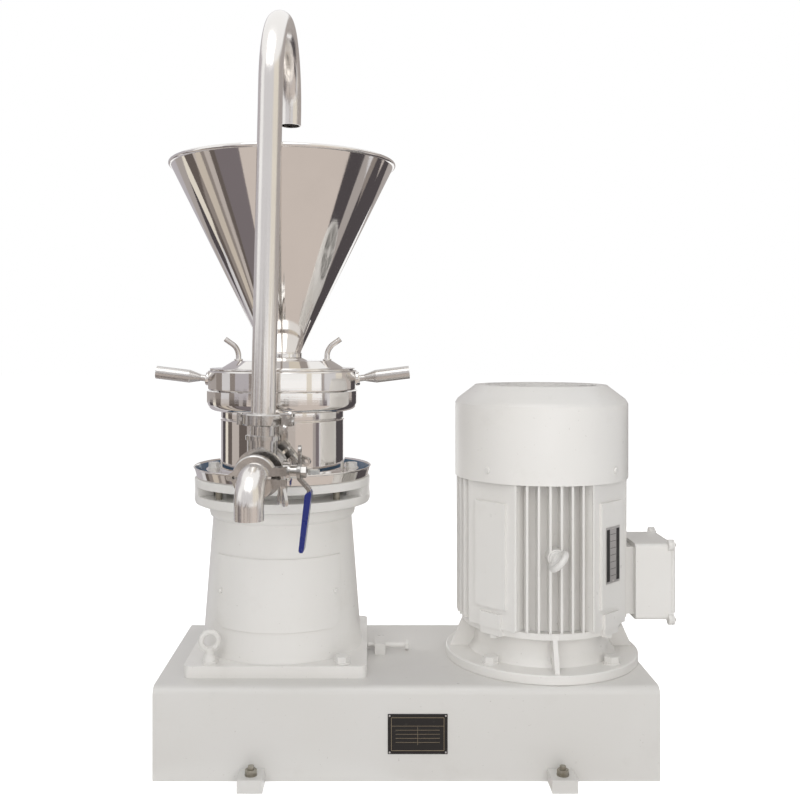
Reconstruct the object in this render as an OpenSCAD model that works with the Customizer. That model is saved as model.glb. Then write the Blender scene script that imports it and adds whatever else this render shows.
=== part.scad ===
// Colloid mill: a split mill head on a cast pedestal, driven by belts from an upright
// flange motor on the same base, with a hopper, a three way valve and a return pipe.
// Millimetres, Z up, origin on the floor under the middle of the base.

/* [Base] */
// Length of the base box along X
base_l = 850; // [830:5:950]
// Depth of the base box along Y
base_d = 376; // [372:1:440]
// Height of the base box
base_h = 158; // [150:1:200]
// Plate thickness of the base box
base_wall = 8; // [6:0.5:10]
// Outer radius of the long top bends
bend_r = 14; // [12:1:18]
// Distance between foot lugs along X
lug_pitch = 514; // [450:2:600]
// Width of one foot lug
lug_w = 42; // [34:1:60]
// Reach of one foot lug from the base wall
lug_reach = 45; // [36:1:60]
// Height of one foot lug
lug_h = 22; // [14:1:30]
// Thread of the foot bolts
foot_bolt_d = 10; // [8:1:12]

/* [Pedestal] */
// Mill axis along X
mill_x = -224; // [-240:1:-220]
// Mill axis along Y
mill_y = 12; // [0:1:16]
// Side of the square pedestal plate
plate_w = 316; // [312:1:330]
// Thickness of the pedestal plate
plate_t = 21; // [16:1:26]
// Height of the pedestal cone
cone_h = 235; // [215:1:260]
// Wall of the pedestal casting
stand_wall = 12; // [9:1:14]
// Height of the neck ring
neck_h = 25; // [20:1:30]
// Radius of the two flanges above the neck
flange_r = 163; // [160:1:168]
// Thickness of the lower flange
low_flange_t = 18; // [16:1:24]
// Height of the drain slot between the flanges
slot_h = 15; // [10:0.5:18]
// Thickness of the upper flange
top_flange_t = 15; // [14:1:20]
// Reach of the access cover to each side
access_half = 110; // [96:1:112]
// Height of the access cover
access_h = 126; // [100:1:140]

/* [Mill head] */
// Height of the drip tray wall
tray_h = 18; // [14:1:26]
// Outer radius of the grinding housing
house_r = 116; // [112:1:120]
// Height of the grinding housing
house_h = 121; // [117:1:134]
// Thickness of the threaded collar
collar_t = 36; // [30:1:40]
// Height of the adjusting ring
ring_h = 36; // [34:1:42]
// Thread pitch of the adjusting ring
ring_pitch = 4; // [2:0.5:4]
// Upward tilt of the two handles
handle_tilt = 7; // [0:1:10]
// Diameter of a handle grip
grip_d = 24; // [20:1:28]
// Horizontal gap between rotor and stator
grind_gap = 1; // [0.8:0.1:1.2]
// Number of teeth on rotor and stator
teeth = 24; // [16:2:30]

/* [Hopper] */
// Radius of the hopper rim
hopper_r = 206; // [180:1:215]
// Height of the hopper cone
hopper_h = 351; // [300:1:380]
// Hopper sheet thickness
hopper_t = 2; // [1.5:0.5:3]

/* [Product line] */
// Pipe outside diameter
pipe_d = 40; // [38:0.5:42]
// Pipe wall
pipe_t = 2; // [1.5:0.5:2.5]
// Turn of the outlet away from straight ahead
outlet_turn = 2.4; // [0:0.1:6]
// Lean of the valve and the riser about the outlet
valve_lean = 1.3; // [0:0.1:2]
// Distance from valve middle to its end faces
valve_half = 75; // [72:1:84]
// Distance from valve middle up to the riser clamp
riser_half = 83; // [82:1:94]
// Radius of the valve barrel flanges
valve_r = 39; // [38:1:42]
// Bend radius of the discharge elbow
elbow_r = 38; // [34:1:44]
// Outside diameter of the discharge elbow
elbow_d = 45; // [42:0.5:46]
// Straight end of the discharge elbow
spout_l = 19; // [10:1:24]
// Height of the return bend start above the hopper rim
hook_rise = 90; // [60:2:120]

/* [Motor] */
// Motor axis along X
motor_x = 256; // [252:1:268]
// Motor axis along Y
motor_y = -6; // [-9:1:6]
// Diameter of the motor flange
motor_flange_d = 350; // [346:1:354]
// Length of the finned motor frame
frame_h = 260; // [240:2:280]
// Height of the fan cover above the frame
fan_h = 161; // [150:1:190]
// Fin spacing
fin_pitch = 19.3; // [17:0.1:20]
// Fin thickness
fin_t = 4; // [3:0.5:6]
// Depth of the terminal box away from the motor
term_l = 65; // [55:1:80]
// Width of the terminal box
term_w = 126; // [110:1:136]
// Height of the terminal box
term_h = 137; // [124:1:146]

/* [Drive] */
// Outside diameter of the mill pulley
mill_pulley_d = 125; // [120:1:140]
// Outside diameter of the motor pulley
motor_pulley_d = 150; // [140:1:160]
// Number of belts
belts = 3; // [2:1:3]

/* [Hidden] */
$fn = 64;

paint = [0.93, 0.93, 0.9];
steel = [0.78, 0.78, 0.77];
dull = [0.6, 0.6, 0.6];
zinc = [0.66, 0.65, 0.6];
dark = [0.2, 0.2, 0.21];
blue = [0.1, 0.16, 0.55];
rubber = [0.12, 0.12, 0.12];
copper = [0.62, 0.38, 0.2];

// Cone of the pedestal and envelope of the motor fins
cone_foot_r = plate_w / 2 - 11;
cone_top_r = cone_foot_r - 18;
motor_r = motor_flange_d / 2 - 20;

// Heights up the mill
z_plate = base_h + plate_t;
z_cone = z_plate + cone_h;
z_neck = z_cone + neck_h;
z_low = z_neck + low_flange_t;
z_slot = z_low + slot_h;
z_tray = z_slot + top_flange_t;
tray_t = 1.5;
z_house = z_tray + tray_t;
floor_t = 14;
z_collar = z_house + house_h;
z_neckring = z_collar + collar_t;
ring_gap = 1.5;
z_ring = z_neckring + ring_gap;
z_ring_top = z_ring + ring_h;
retainer_t = 4;
z_retainer = z_ring_top + retainer_t;
z_cover = z_retainer + 14;
z_hub = z_cover + 5;
union_h = 9;
z_cone0 = z_hub + union_h;
z_rim = z_cone0 + hopper_h;

// Radii of the mill head
house_in = house_r - 16;
collar_r = house_r + 25;
ring_r = collar_r - 2;
thread_r = ring_r - 20;
slide_fit = 0.1;
thread_fit = 0.3;
skirt_r = house_in - 1;
cover_lip_r = thread_r + 8;
retainer_in = thread_r - 6;
stator_r = house_in - 10;
rotor_r = house_r - 46;
rotor_top_r = rotor_r - 20;
rotor_h = 70;
z_rotor = z_house + floor_t + 12;
z_rotor_top = z_rotor + rotor_h;
z_stator = z_rotor + 10;
tray_r = flange_r + 1;
stud_pcr = flange_r - 16;
house_flange_r = house_r + 26;
house_bolt_pcr = house_r + 13;
house_bolt_d = 12;

nipple_r = 5;
nipple_l = 16;
nipple_pcr = retainer_in - 30;

// Spindle bearings
brg_r = 50;
brg_in = 22.5;
brg_w = 25;
z_brg_up = z_tray - 37;
z_brg_low = z_plate + 31;
spigot_r = 104.9;
shaft_fit = 0.02;

// Bolts of the pedestal and motor flange
stand_bolt_d = 16;
stand_bolt_x = plate_w / 2 - 43;
stand_bolt_y = plate_w / 2 - 20;
motor_bolt_pcr = motor_flange_d / 2 - 25;
hole_gap = 0.75;

// Product line, measured from the mill axis along the outlet
pipe_r = pipe_d / 2;
pipe_in = pipe_r - pipe_t;
spout_r = elbow_d / 2;
ferrule_r = pipe_r + 6;
ferrule_lip = 2.8;
gasket_t = 2;
clamp_r = ferrule_r + 8;
clamp_half = 9.5;
clamp_gap = 0.3;
clamp_bolt_x = clamp_r + 9;
clamp_bolt_r = 3.9;
outlet_z = z_tray + tray_h + pipe_r + 3;
outlet_x = tray_r + 22;
valve_x = outlet_x + valve_half;
spout_x = valve_x + valve_half;
hook_r = valve_x / 2;
hook_z = z_rim + hook_rise;
hook_tail = 15;
ball_r = 27;
stem_r = 7;
lever_y = 58;
handle_tip = valve_x - pipe_r - 4;

// Motor heights and radii
z_frame = base_h + 78;
z_frame_top = z_frame + frame_h;
core_r = motor_r - 24;
bore_r = motor_r - 37;
pad_d = motor_r - 8;
fan_cover_r = motor_r + 3;
spigot_motor_r = motor_flange_d / 2 - 50;
shaft_r = 21;
term_x = motor_r + 5;
term_z = z_frame;

// Belt drive
belt_pitch = 19;
belt_w = 16.4;
belt_h = 10.5;
belt_slope = 0.343;
belt_gap = 0.3;
belt_z = base_h - 72;
pulley_w = belts * belt_pitch + 8;
spindle_z = belt_z - pulley_w / 2 - 6;
run_x = motor_x - mill_x;
run_y = motor_y - mill_y;
centres = sqrt(run_x * run_x + run_y * run_y);
run_turn = atan2(run_y, run_x);

// Tension screw
screw_d = 10;
screw_z = base_h + 10;
lug_x = mill_x + plate_w / 2 + 14;
tension_w = 20;
tension_l = 56;
screw_tip = mill_x + plate_w / 2 + 0.3;
screw_end = screw_tip + 71;

function hex_af(d) = d <= 10 ? 1.7 * d : 1.5 * d;
function cone_r(z) = cone_foot_r + (cone_top_r - cone_foot_r) * (z - z_plate) / cone_h;
function rotor_at(z) = rotor_r + (rotor_top_r - rotor_r) * (z - z_rotor) / rotor_h;
function groove_z(r) = gasket_t / 2 + ferrule_lip + (ferrule_r - r) * tan(20) + clamp_gap;
function lever_out(z) = lever_y + 21.5 + (z + 30) * 0.099;

// Shared helpers
module at_mill() {
    translate([mill_x, mill_y, 0]) children();
}

module at_motor() {
    translate([motor_x, motor_y, 0]) children();
}

module at_outlet() {
    translate([mill_x, mill_y, outlet_z]) rotate([0, 0, 270 - outlet_turn]) children();
}

// The valve and the riser, swung a little about the outlet
module at_line() {
    at_outlet() rotate([-valve_lean, 0, 0]) children();
}

module at_valve() {
    at_line() translate([valve_x, 0, 0]) children();
}

module around(n, first = 0) {
    for (i = [0:n - 1])
        rotate([0, 0, first + i * 360 / n]) children();
}

module hex(d, h) {
    cylinder(h = h, r = hex_af(d) / 2 / cos(30), $fn = 6);
}

module tube(ro, ri, h) {
    difference() {
        cylinder(h = h, r = ro);
        translate([0, 0, -1]) cylinder(h = h + 2, r = ri);
    }
}

// Lies along X around the middle
module along_x(l) {
    rotate([90, 0, 90]) linear_extrude(l, center = true) children();
}

module bent_outline(w, h, r) {
    translate([-w / 2, 0]) square([w, h - r]);
    translate([-w / 2 + r, 0]) square([w - 2 * r, h]);
    for (s = [-1, 1])
        translate([s * (w / 2 - r), h - r]) circle(r);
}

module round_square(w, l, r) {
    square([w - 2 * r, l], center = true);
    square([w, l - 2 * r], center = true);
    for (x = [-1, 1], y = [-1, 1])
        translate([x * (w / 2 - r), y * (l / 2 - r)]) circle(r);
}

// Bolt with its head standing on z 0 and its nut under the grip
module through_bolt(d, grip, head_h) {
    cylinder(h = d * 0.19, r = d * 0.94);
    translate([0, 0, d * 0.19]) hex(d, head_h);
    translate([0, 0, -grip - d * 1.1]) cylinder(h = grip + d * 1.1 + 1, r = d / 2);
    translate([0, 0, -grip - d * 0.8]) hex(d, d * 0.8);
}

module stand_spots() {
    for (x = [-1, 1], y = [-1, 1])
        translate([mill_x + x * stand_bolt_x, mill_y + y * stand_bolt_y, 0]) children();
}

module motor_spots() {
    at_motor() around(4, 45) translate([motor_bolt_pcr, 0, 0]) children();
}

module lug_spots() {
    for (x = [-1, 1], y = [-1, 1])
        translate([x * lug_pitch / 2, y * (base_d / 2 + lug_reach * 0.55), 0]) children();
}

// Ferrule with its face on z 0 and the pipe going down
module ferrule(l) {
    slope = (ferrule_r - pipe_r) * tan(20);
    rotate_extrude()
        polygon([
            [pipe_in, 0], [ferrule_r, 0], [ferrule_r, -ferrule_lip],
            [pipe_r, -ferrule_lip - slope], [pipe_r, -l], [pipe_in, -l]
        ]);
}

// One ball bearing standing on z 0
module ball_bearing() {
    mid = (brg_r + brg_in) / 2;
    ball = 8.4;
    difference() {
        union() {
            tube(brg_r - slide_fit, mid + 4.5, brg_w);
            tube(mid - 4.5, brg_in, brg_w);
        }
        rotate_extrude() translate([mid, brg_w / 2]) circle(ball + 0.1);
    }
    around(8) translate([mid, 0, brg_w / 2]) sphere(ball);
}

// Base
module base_deck() {
    color(paint)
        difference() {
            along_x(base_l) bent_outline(base_d, base_h, bend_r);
            translate([-base_l, -base_d, -1]) cube([2 * base_l, 2 * base_d, base_h - base_wall + 1]);
            at_mill() translate([0, 0, base_h - 20]) cylinder(h = 40, r = 90);
            at_motor() translate([0, 0, base_h - 20]) cylinder(h = 40, r = spigot_motor_r + slide_fit);
            stand_spots() translate([0, 0, base_h - 20]) cylinder(h = 40, r = stand_bolt_d / 2 + hole_gap);
            motor_spots() translate([0, 0, base_h - 20]) cylinder(h = 40, r = stand_bolt_d / 2 + hole_gap);
        }
}

// Four walls under the deck, welded into one rim that stands on the floor
module base_walls() {
    h = base_h - base_wall;
    color(paint)
        difference() {
            along_x(base_l) bent_outline(base_d, base_h, bend_r);
            translate([-base_l, -base_d, h]) cube([2 * base_l, 2 * base_d, base_h]);
            translate([base_wall - base_l / 2, base_wall - base_d / 2, -1])
                cube([base_l - 2 * base_wall, base_d - 2 * base_wall, base_h]);
        }
}

module base_lugs() {
    color(paint)
        difference() {
            union() {
                for (x = [-1, 1], y = [-1, 1])
                    translate([x * lug_pitch / 2, y * (base_d / 2 + lug_reach / 2), lug_h / 2])
                        cube([lug_w, lug_reach, lug_h], center = true);
                translate([lug_x, mill_y - tension_l / 2, base_h]) cube([tension_w, tension_l, 20]);
            }
            lug_spots() translate([0, 0, -1]) cylinder(h = lug_h + 2, r = foot_bolt_d / 2 + 0.5);
            translate([lug_x - 1, mill_y, screw_z])
                rotate([0, 90, 0]) cylinder(h = tension_w + 2, r = screw_d / 2 + slide_fit);
        }
}

module foot_bolts() {
    color(zinc)
        lug_spots() {
            translate([0, 0, 0.5]) cylinder(h = lug_h + 15, r = foot_bolt_d / 2);
            translate([0, 0, lug_h]) cylinder(h = 2, r = foot_bolt_d * 1.02);
            translate([0, 0, lug_h + 2]) hex(foot_bolt_d, foot_bolt_d * 0.8);
        }
}

module tension_screw() {
    color(dull)
        translate([screw_tip, mill_y, screw_z])
            rotate([0, 90, 0]) {
                cylinder(h = 2, r1 = screw_d / 2 - 1.5, r2 = screw_d / 2);
                translate([0, 0, 2]) cylinder(h = 69, r = screw_d / 2);
                translate([0, 0, 71]) hex(screw_d, 6.5);
            }
}

// Pedestal
module pedestal_plate() {
    color(paint)
        difference() {
            translate([mill_x, mill_y, base_h])
                linear_extrude(plate_t) round_square(plate_w, plate_w, 12);
            at_mill() translate([0, 0, base_h - 1]) cylinder(h = plate_t + 2, r = cone_foot_r - stand_wall);
            stand_spots() translate([0, 0, base_h - 1]) cylinder(h = plate_t + 2, r = stand_bolt_d / 2 + hole_gap);
        }
}

module pedestal() {
    wall_in = cone_foot_r - stand_wall;
    access_z = z_plate + 52;
    color(paint)
        difference() {
            union() {
                at_mill() rotate_extrude()
                    polygon([
                        [80, z_plate], [cone_foot_r + 2.5, z_plate], [cone_foot_r + 2.5, z_plate + 1],
                        [cone_r(z_plate + 10), z_plate + 10], [cone_top_r, z_cone],
                        [cone_top_r + 1.5, z_cone + 1], [cone_top_r + 4.5, z_cone + 4],
                        [cone_top_r + 6, z_cone + 9], [cone_top_r + 6, z_neck], [flange_r - 7, z_neck],
                        [flange_r - 2, z_neck + 2], [flange_r, z_neck + 7], [flange_r, z_low], [80, z_low]
                    ]);
                at_mill() for (a = [-25, 155])
                    rotate([0, 0, a]) rotate_extrude(angle = 50)
                        translate([flange_r - 30, z_low - 1]) square([29.5, slot_h + 1]);
            }
            at_mill() rotate_extrude()
                polygon([
                    [0, z_plate - 1], [wall_in, z_plate - 1], [wall_in, z_plate + 10],
                    [cone_top_r - stand_wall, z_cone - 10], [spigot_r + slide_fit, z_neck],
                    [spigot_r + slide_fit, z_low + 30], [0, z_low + 30]
                ]);
            translate([mill_x - access_half + 25, mill_y - cone_foot_r - 10, access_z + 15])
                cube([2 * access_half - 50, cone_foot_r, access_h - 30]);
            at_mill() around(4, 45)
                translate([stud_pcr, 0, z_neck + 8]) cylinder(h = 40, r = 6.2);
        }
}

module pedestal_cover() {
    z0 = z_plate + 52;
    z1 = z0 + access_h;
    r = 18;
    color(paint)
        at_mill() intersection() {
            rotate([0, 0, 200]) rotate_extrude(angle = 140)
                polygon([
                    [cone_r(z0) + 0.1, z0], [cone_r(z0) + 3.1, z0],
                    [cone_r(z1) + 3.1, z1], [cone_r(z1) + 0.1, z1]
                ]);
            rotate([90, 0, 0]) linear_extrude(2 * cone_foot_r) {
                translate([-access_half, z0 + r]) square([2 * access_half, access_h]);
                translate([-access_half + r, z0]) square([2 * access_half - 2 * r, access_h]);
                for (s = [-1, 1])
                    translate([s * (access_half - r), z0 + r]) circle(r);
            }
        }
}

module pedestal_screws() {
    z = z_plate + 52 + access_h / 2;
    turn = asin((access_half - 8) / (cone_r(z) + 3));
    color(dull)
        at_mill() for (s = [-1, 1])
            rotate([0, 0, 270 + s * turn]) translate([cone_r(z) + 3.6, 0, z])
                rotate([0, 90, 0]) cylinder(h = 4, r1 = 5, r2 = 3.6);
}

module pedestal_bolts() {
    color(dull)
        difference() {
            stand_spots() translate([0, 0, z_plate]) through_bolt(stand_bolt_d, plate_t + base_wall, 10);
            translate([mill_x - stand_bolt_x - 30, mill_y - stand_bolt_y - 30, base_h - 60])
                cube([60, 60, 130]);
        }
}

module lifting_eye() {
    color(dull)
        translate([mill_x - stand_bolt_x, mill_y - stand_bolt_y, z_plate]) {
            cylinder(h = 5, r = 14);
            translate([0, 0, 4.5]) cylinder(h = 10.5, r1 = 12, r2 = 8.5);
            translate([0, 0, 14]) cylinder(h = 13, r = 8);
            translate([0, 0, 38]) rotate([90, 0, 18])
                rotate_extrude() translate([14.8, 0]) circle(4.8);
            translate([0, 0, -plate_t - base_wall - 18]) cylinder(h = plate_t + base_wall + 19, r = 8);
            translate([0, 0, -plate_t - base_wall - 13]) hex(stand_bolt_d, 13);
        }
}

// Spindle unit
module bearing_housing() {
    color(paint)
        at_mill() difference() {
            rotate_extrude()
                polygon([
                    [brg_r, z_brg_low - 10], [brg_r + 16, z_brg_low - 10], [brg_r + 16, z_low - 24],
                    [spigot_r, z_low - 24], [spigot_r, z_slot], [flange_r - 1, z_slot],
                    [flange_r, z_slot + 1], [flange_r, z_tray - 2], [flange_r - 2, z_tray],
                    [brg_r, z_tray], [brg_r, z_brg_up], [brg_r - 8, z_brg_up],
                    [brg_r - 8, z_brg_low + brg_w], [brg_r, z_brg_low + brg_w]
                ]);
            around(4, 45) translate([stud_pcr, 0, z_slot - 1]) cylinder(h = top_flange_t - 4, r = 6.2);
            around(6) translate([house_bolt_pcr, 0, z_slot - 1])
                cylinder(h = top_flange_t + 2, r = house_bolt_d / 2 + 0.3);
        }
}

module flange_studs() {
    color(dull)
        at_mill() around(4, 45) translate([stud_pcr, 0, z_neck + 8.3])
            cylinder(h = z_slot - z_neck + top_flange_t - 14, r = 6);
}

module spindle_bearings() {
    color(steel)
        at_mill() {
            translate([0, 0, z_brg_up]) ball_bearing();
            translate([0, 0, z_brg_low]) ball_bearing();
        }
}

module bearing_cap() {
    color(dull)
        at_mill() rotate_extrude()
            polygon([
                [26, z_brg_low - 18], [brg_r + 16, z_brg_low - 18], [brg_r + 16, z_brg_low - 10],
                [brg_r - slide_fit, z_brg_low - 10], [brg_r - slide_fit, z_brg_low],
                [brg_r - 8, z_brg_low], [brg_r - 8, z_brg_low - 10], [26, z_brg_low - 10]
            ]);
}

module shaft_seals() {
    color(rubber)
        at_mill() {
            translate([0, 0, z_brg_up + brg_w]) tube(brg_r - slide_fit, 20.1, 10);
            translate([0, 0, z_house]) tube(32 - slide_fit, 20.1, floor_t + 6);
        }
}

module spindle() {
    color(steel)
        at_mill() rotate_extrude()
            polygon([
                [0, spindle_z], [18, spindle_z], [19, spindle_z + 1],
                [19, belt_z + pulley_w / 2], [brg_in - shaft_fit, belt_z + pulley_w / 2],
                [brg_in - shaft_fit, z_brg_low + brg_w], [26, z_brg_low + brg_w],
                [26, z_brg_up], [brg_in - shaft_fit, z_brg_up], [brg_in - shaft_fit, z_brg_up + brg_w],
                [20, z_brg_up + brg_w], [20, z_rotor], [17, z_rotor], [17, z_rotor_top],
                [12, z_rotor_top], [12, z_rotor_top + 24], [11, z_rotor_top + 25], [0, z_rotor_top + 25]
            ]);
}

module rotor() {
    color(steel)
        at_mill() difference() {
            rotate_extrude()
                polygon([
                    [17 + shaft_fit, z_rotor], [rotor_r, z_rotor], [rotor_top_r, z_rotor_top],
                    [17 + shaft_fit, z_rotor_top]
                ]);
            around(teeth)
                translate([rotor_at(z_rotor + 45) + 5, 0, z_rotor + 45])
                    rotate([20, -atan2(20, rotor_h), 0]) cube([16, 4, 90], center = true);
            around(teeth * 1.5, 3)
                translate([rotor_at(z_rotor + 10) + 6, 0, z_rotor + 10])
                    rotate([-20, -atan2(20, rotor_h), 0]) cube([16, 3, 36], center = true);
        }
}

module rotor_nut() {
    color(steel)
        at_mill() translate([0, 0, z_rotor_top]) {
            rotate_extrude()
                polygon([
                    [12 + shaft_fit, 0], [30, 0], [30, 6], [22, 12], [16, 30], [8, 36], [0, 36],
                    [0, 27], [12 + shaft_fit, 27]
                ]);
            around(3) translate([14, -2, 5]) cube([18, 4, 16]);
        }
}

// Grooved pulley standing on the belt plane
module pulley(d, bore) {
    r = d / 2;
    color(dull)
        difference() {
            translate([0, 0, -pulley_w / 2]) tube(r, bore, pulley_w);
            rotate_extrude() for (i = [0:belts - 1])
                translate([r, (i - (belts - 1) / 2) * belt_pitch])
                    polygon([
                        [1, -belt_w / 2 - belt_gap - 0.34], [1, belt_w / 2 + belt_gap + 0.34],
                        [-13, belt_w / 2 - 13 * belt_slope + belt_gap],
                        [-13, -belt_w / 2 + 13 * belt_slope - belt_gap]
                    ]);
            for (z = [-pulley_w / 2 - 1, pulley_w / 2 - 13])
                translate([0, 0, z]) tube(r - 20, bore + 12, 14);
        }
}

module mill_pulley() {
    at_mill() translate([0, 0, belt_z]) pulley(mill_pulley_d, 19 + shaft_fit);
}

module motor_pulley() {
    at_motor() translate([0, 0, belt_z]) pulley(motor_pulley_d, shaft_r + shaft_fit);
}

module belt_half(r1, r2) {
    a = asin((r2 - r1) / centres);
    w = belt_w / 2;
    n = w - belt_h * belt_slope;
    section = [[0, -w], [0, w], [-belt_h, n], [-belt_h, -n]];
    rotate([0, 0, 90 + a]) rotate_extrude(angle = 90 - a) translate([r1, 0]) polygon(section);
    translate([centres, 0, 0])
        rotate_extrude(angle = 90 + a) translate([r2, 0]) polygon(section);
    translate([r1 * cos(90 + a), r1 * sin(90 + a), 0]) rotate([0, 0, a]) translate([-0.5, 0, 0])
        rotate([90, 0, 90]) linear_extrude(centres * cos(a) + 1) polygon(section);
}

module v_belts() {
    color(rubber)
        at_mill() rotate([0, 0, run_turn]) for (i = [0:belts - 1])
            translate([0, 0, belt_z + (i - (belts - 1) / 2) * belt_pitch]) {
                belt_half(mill_pulley_d / 2, motor_pulley_d / 2);
                mirror([0, 1, 0]) belt_half(mill_pulley_d / 2, motor_pulley_d / 2);
            }
}

// Mill head
module drip_tray() {
    color(steel)
        at_mill() difference() {
            rotate_extrude() {
                polygon([
                    [60, z_tray], [tray_r - 5, z_tray], [tray_r, z_tray + tray_h],
                    [tray_r - tray_t, z_tray + tray_h], [tray_r - 5 - tray_t, z_tray + tray_t],
                    [60, z_tray + tray_t]
                ]);
                translate([tray_r - 0.2, z_tray + tray_h]) circle(1.8);
            }
            around(6) translate([house_bolt_pcr, 0, z_tray - 1])
                cylinder(h = 4, r = house_bolt_d / 2 + 0.3);
        }
}

module mill_housing() {
    stub = outlet_x - gasket_t / 2;
    color(steel)
        difference() {
            union() {
                at_mill() rotate_extrude()
                    polygon([
                        [32, z_house], [house_flange_r, z_house], [house_flange_r, z_house + 10],
                        [house_flange_r - 2, z_house + 12], [house_r + 2, z_house + 12],
                        [house_r, z_house + 14], [house_r, z_collar - 17], [house_r - 1.5, z_collar - 16],
                        [house_r - 1.5, z_collar - 14], [house_r, z_collar - 13],
                        [house_r, z_collar], [32, z_collar]
                    ]);
                at_outlet() translate([house_in, 0, 0]) rotate([0, 90, 0])
                    cylinder(h = stub - house_in - 10, r = pipe_r);
                at_outlet() translate([house_in + 8, 0, 0]) rotate([0, 90, 0])
                    cylinder(h = 16, r1 = pipe_r + 5, r2 = pipe_r);
                at_outlet() translate([stub, 0, 0]) rotate([0, 90, 0]) ferrule(20);
            }
            at_mill() translate([0, 0, z_house + floor_t]) cylinder(h = house_h, r = house_in);
            at_outlet() translate([house_in - 10, 0, 0]) rotate([0, 90, 0])
                cylinder(h = stub - house_in + 20, r = pipe_in);
            at_mill() around(6) translate([house_bolt_pcr, 0, z_house - 1])
                cylinder(h = 14, r = house_bolt_d / 2 + 0.3);
        }
}

module housing_bolts() {
    color(paint)
        at_mill() around(6) translate([house_bolt_pcr, 0, z_house + 12]) {
            cylinder(h = 2, r = 10.5);
            translate([0, 0, 2]) hex(house_bolt_d, 8);
            translate([0, 0, -12 - tray_t - top_flange_t + 2])
                cylinder(h = 12 + tray_t + top_flange_t, r = house_bolt_d / 2);
        }
}

module threaded_collar() {
    r = 15;
    color(steel)
        at_mill() rotate_extrude() {
            translate([skirt_r + slide_fit, z_collar]) square([collar_r - r - skirt_r - slide_fit, collar_t]);
            translate([collar_r - r - 1, z_collar + r]) square([r + 1, collar_t - r]);
            intersection() {
                translate([collar_r - r, z_collar + r]) circle(r);
                translate([collar_r - r - 1, z_collar]) square([r + 1, r + 1]);
            }
            translate([skirt_r + slide_fit, z_neckring - 1])
                square([thread_r - skirt_r - slide_fit, ring_gap + ring_h - 11]);
        }
}

module stator() {
    top = z_rotor_top + 2;
    color(steel)
        at_mill() difference() {
            rotate_extrude()
                polygon([
                    [rotor_at(z_stator) + grind_gap, z_stator], [stator_r, z_stator],
                    [stator_r, top], [rotor_at(top) + grind_gap, top]
                ]);
            around(teeth, 4)
                translate([rotor_at(z_rotor + 48) + grind_gap - 5, 0, z_rotor + 48])
                    rotate([-18, -atan2(20, rotor_h), 0]) cube([16, 4, 90], center = true);
        }
}

module feed_cover() {
    lip = z_ring_top - 8;
    top = z_rotor_top + 2;
    color(steel)
        at_mill() difference() {
            rotate_extrude()
                polygon([
                    [stator_r - 18, top], [skirt_r, top], [skirt_r, lip + 0.1],
                    [cover_lip_r, lip + 0.1], [cover_lip_r, z_ring_top - 0.1],
                    [retainer_in - thread_fit, z_ring_top - 0.1], [retainer_in - thread_fit, z_retainer + 1],
                    [nipple_pcr + 8.5, z_cover], [46, z_cover], [36, z_hub], [28, z_hub],
                    [28, z_cover - 12], [stator_r - 18, lip - 4]
                ]);
            for (s = [-1, 1])
                translate([s * nipple_pcr, 0, z_cover - 6]) cylinder(h = 10, r = nipple_r + 0.05);
        }
}

// Small tube that rises from the cover and bends outward
module nipple_path(r, more) {
    bend = 28;
    turn = 55;
    translate([0, 0, -6 - more]) cylinder(h = 14.6 + more, r = r);
    translate([bend, 0, 8]) rotate([-90, 180, 0])
        rotate_extrude(angle = turn) translate([bend, 0]) circle(r - 0.1);
    translate([bend * (1 - cos(turn)), 0, 8 + bend * sin(turn)]) rotate([0, turn, 0])
        translate([0, 0, -0.6]) cylinder(h = nipple_l + 0.6 + more, r = r);
}

module nipple() {
    difference() {
        union() {
            nipple_path(nipple_r, 0);
            cylinder(h = 3, r = 8);
        }
        nipple_path(nipple_r - 1.5, 1);
    }
}

module cooling_nipples() {
    color(steel)
        at_mill() around(2) translate([nipple_pcr, 0, z_cover]) nipple();
}

module hopper_union() {
    color(dull)
        at_mill() rotate_extrude()
            polygon([
                [31.1, z_hub], [35, z_hub], [36, z_hub + 1], [36, z_cone0 - 1],
                [35, z_cone0], [31.1, z_cone0]
            ]);
}

module hopper() {
    color(steel)
        at_mill() rotate_extrude() {
            polygon([
                [31 - hopper_t, z_hub + 0.1], [31, z_hub + 0.1], [31, z_cone0], [34, z_cone0],
                [hopper_r, z_rim], [hopper_r - hopper_t * 1.1, z_rim], [31 - hopper_t, z_cone0 - 1]
            ]);
            translate([hopper_r + 1, z_rim - 1]) circle(4);
        }
}

module adjusting_ring() {
    lip = z_ring_top - 8;
    color(steel)
        at_mill() difference() {
            union() {
                rotate_extrude()
                    polygon([
                        [thread_r + thread_fit, z_ring], [ring_r - 3, z_ring], [ring_r, z_ring + 3],
                        [ring_r, z_ring_top - 3], [ring_r - 3, z_ring_top],
                        [cover_lip_r + thread_fit, z_ring_top], [cover_lip_r + thread_fit, lip],
                        [thread_r + thread_fit, lip]
                    ]);
                around(2) translate([ring_r - 10, 0, z_ring + ring_h * 0.52]) rotate([0, 90 - handle_tilt, 0])
                    cylinder(h = 15, r = 13);
            }
            around(2) translate([ring_r - 10, 0, z_ring + ring_h * 0.52]) rotate([0, 90 - handle_tilt, 0])
                translate([0, 0, -1]) cylinder(h = 30, r = 6.05);
        }
}

module ring_retainer() {
    color(steel)
        at_mill() translate([0, 0, z_ring_top])
            rotate_extrude()
                polygon([
                    [retainer_in, 0], [ring_r - 4, 0], [ring_r - 4, retainer_t - 1],
                    [ring_r - 5, retainer_t], [retainer_in, retainer_t]
                ]);
}

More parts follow.
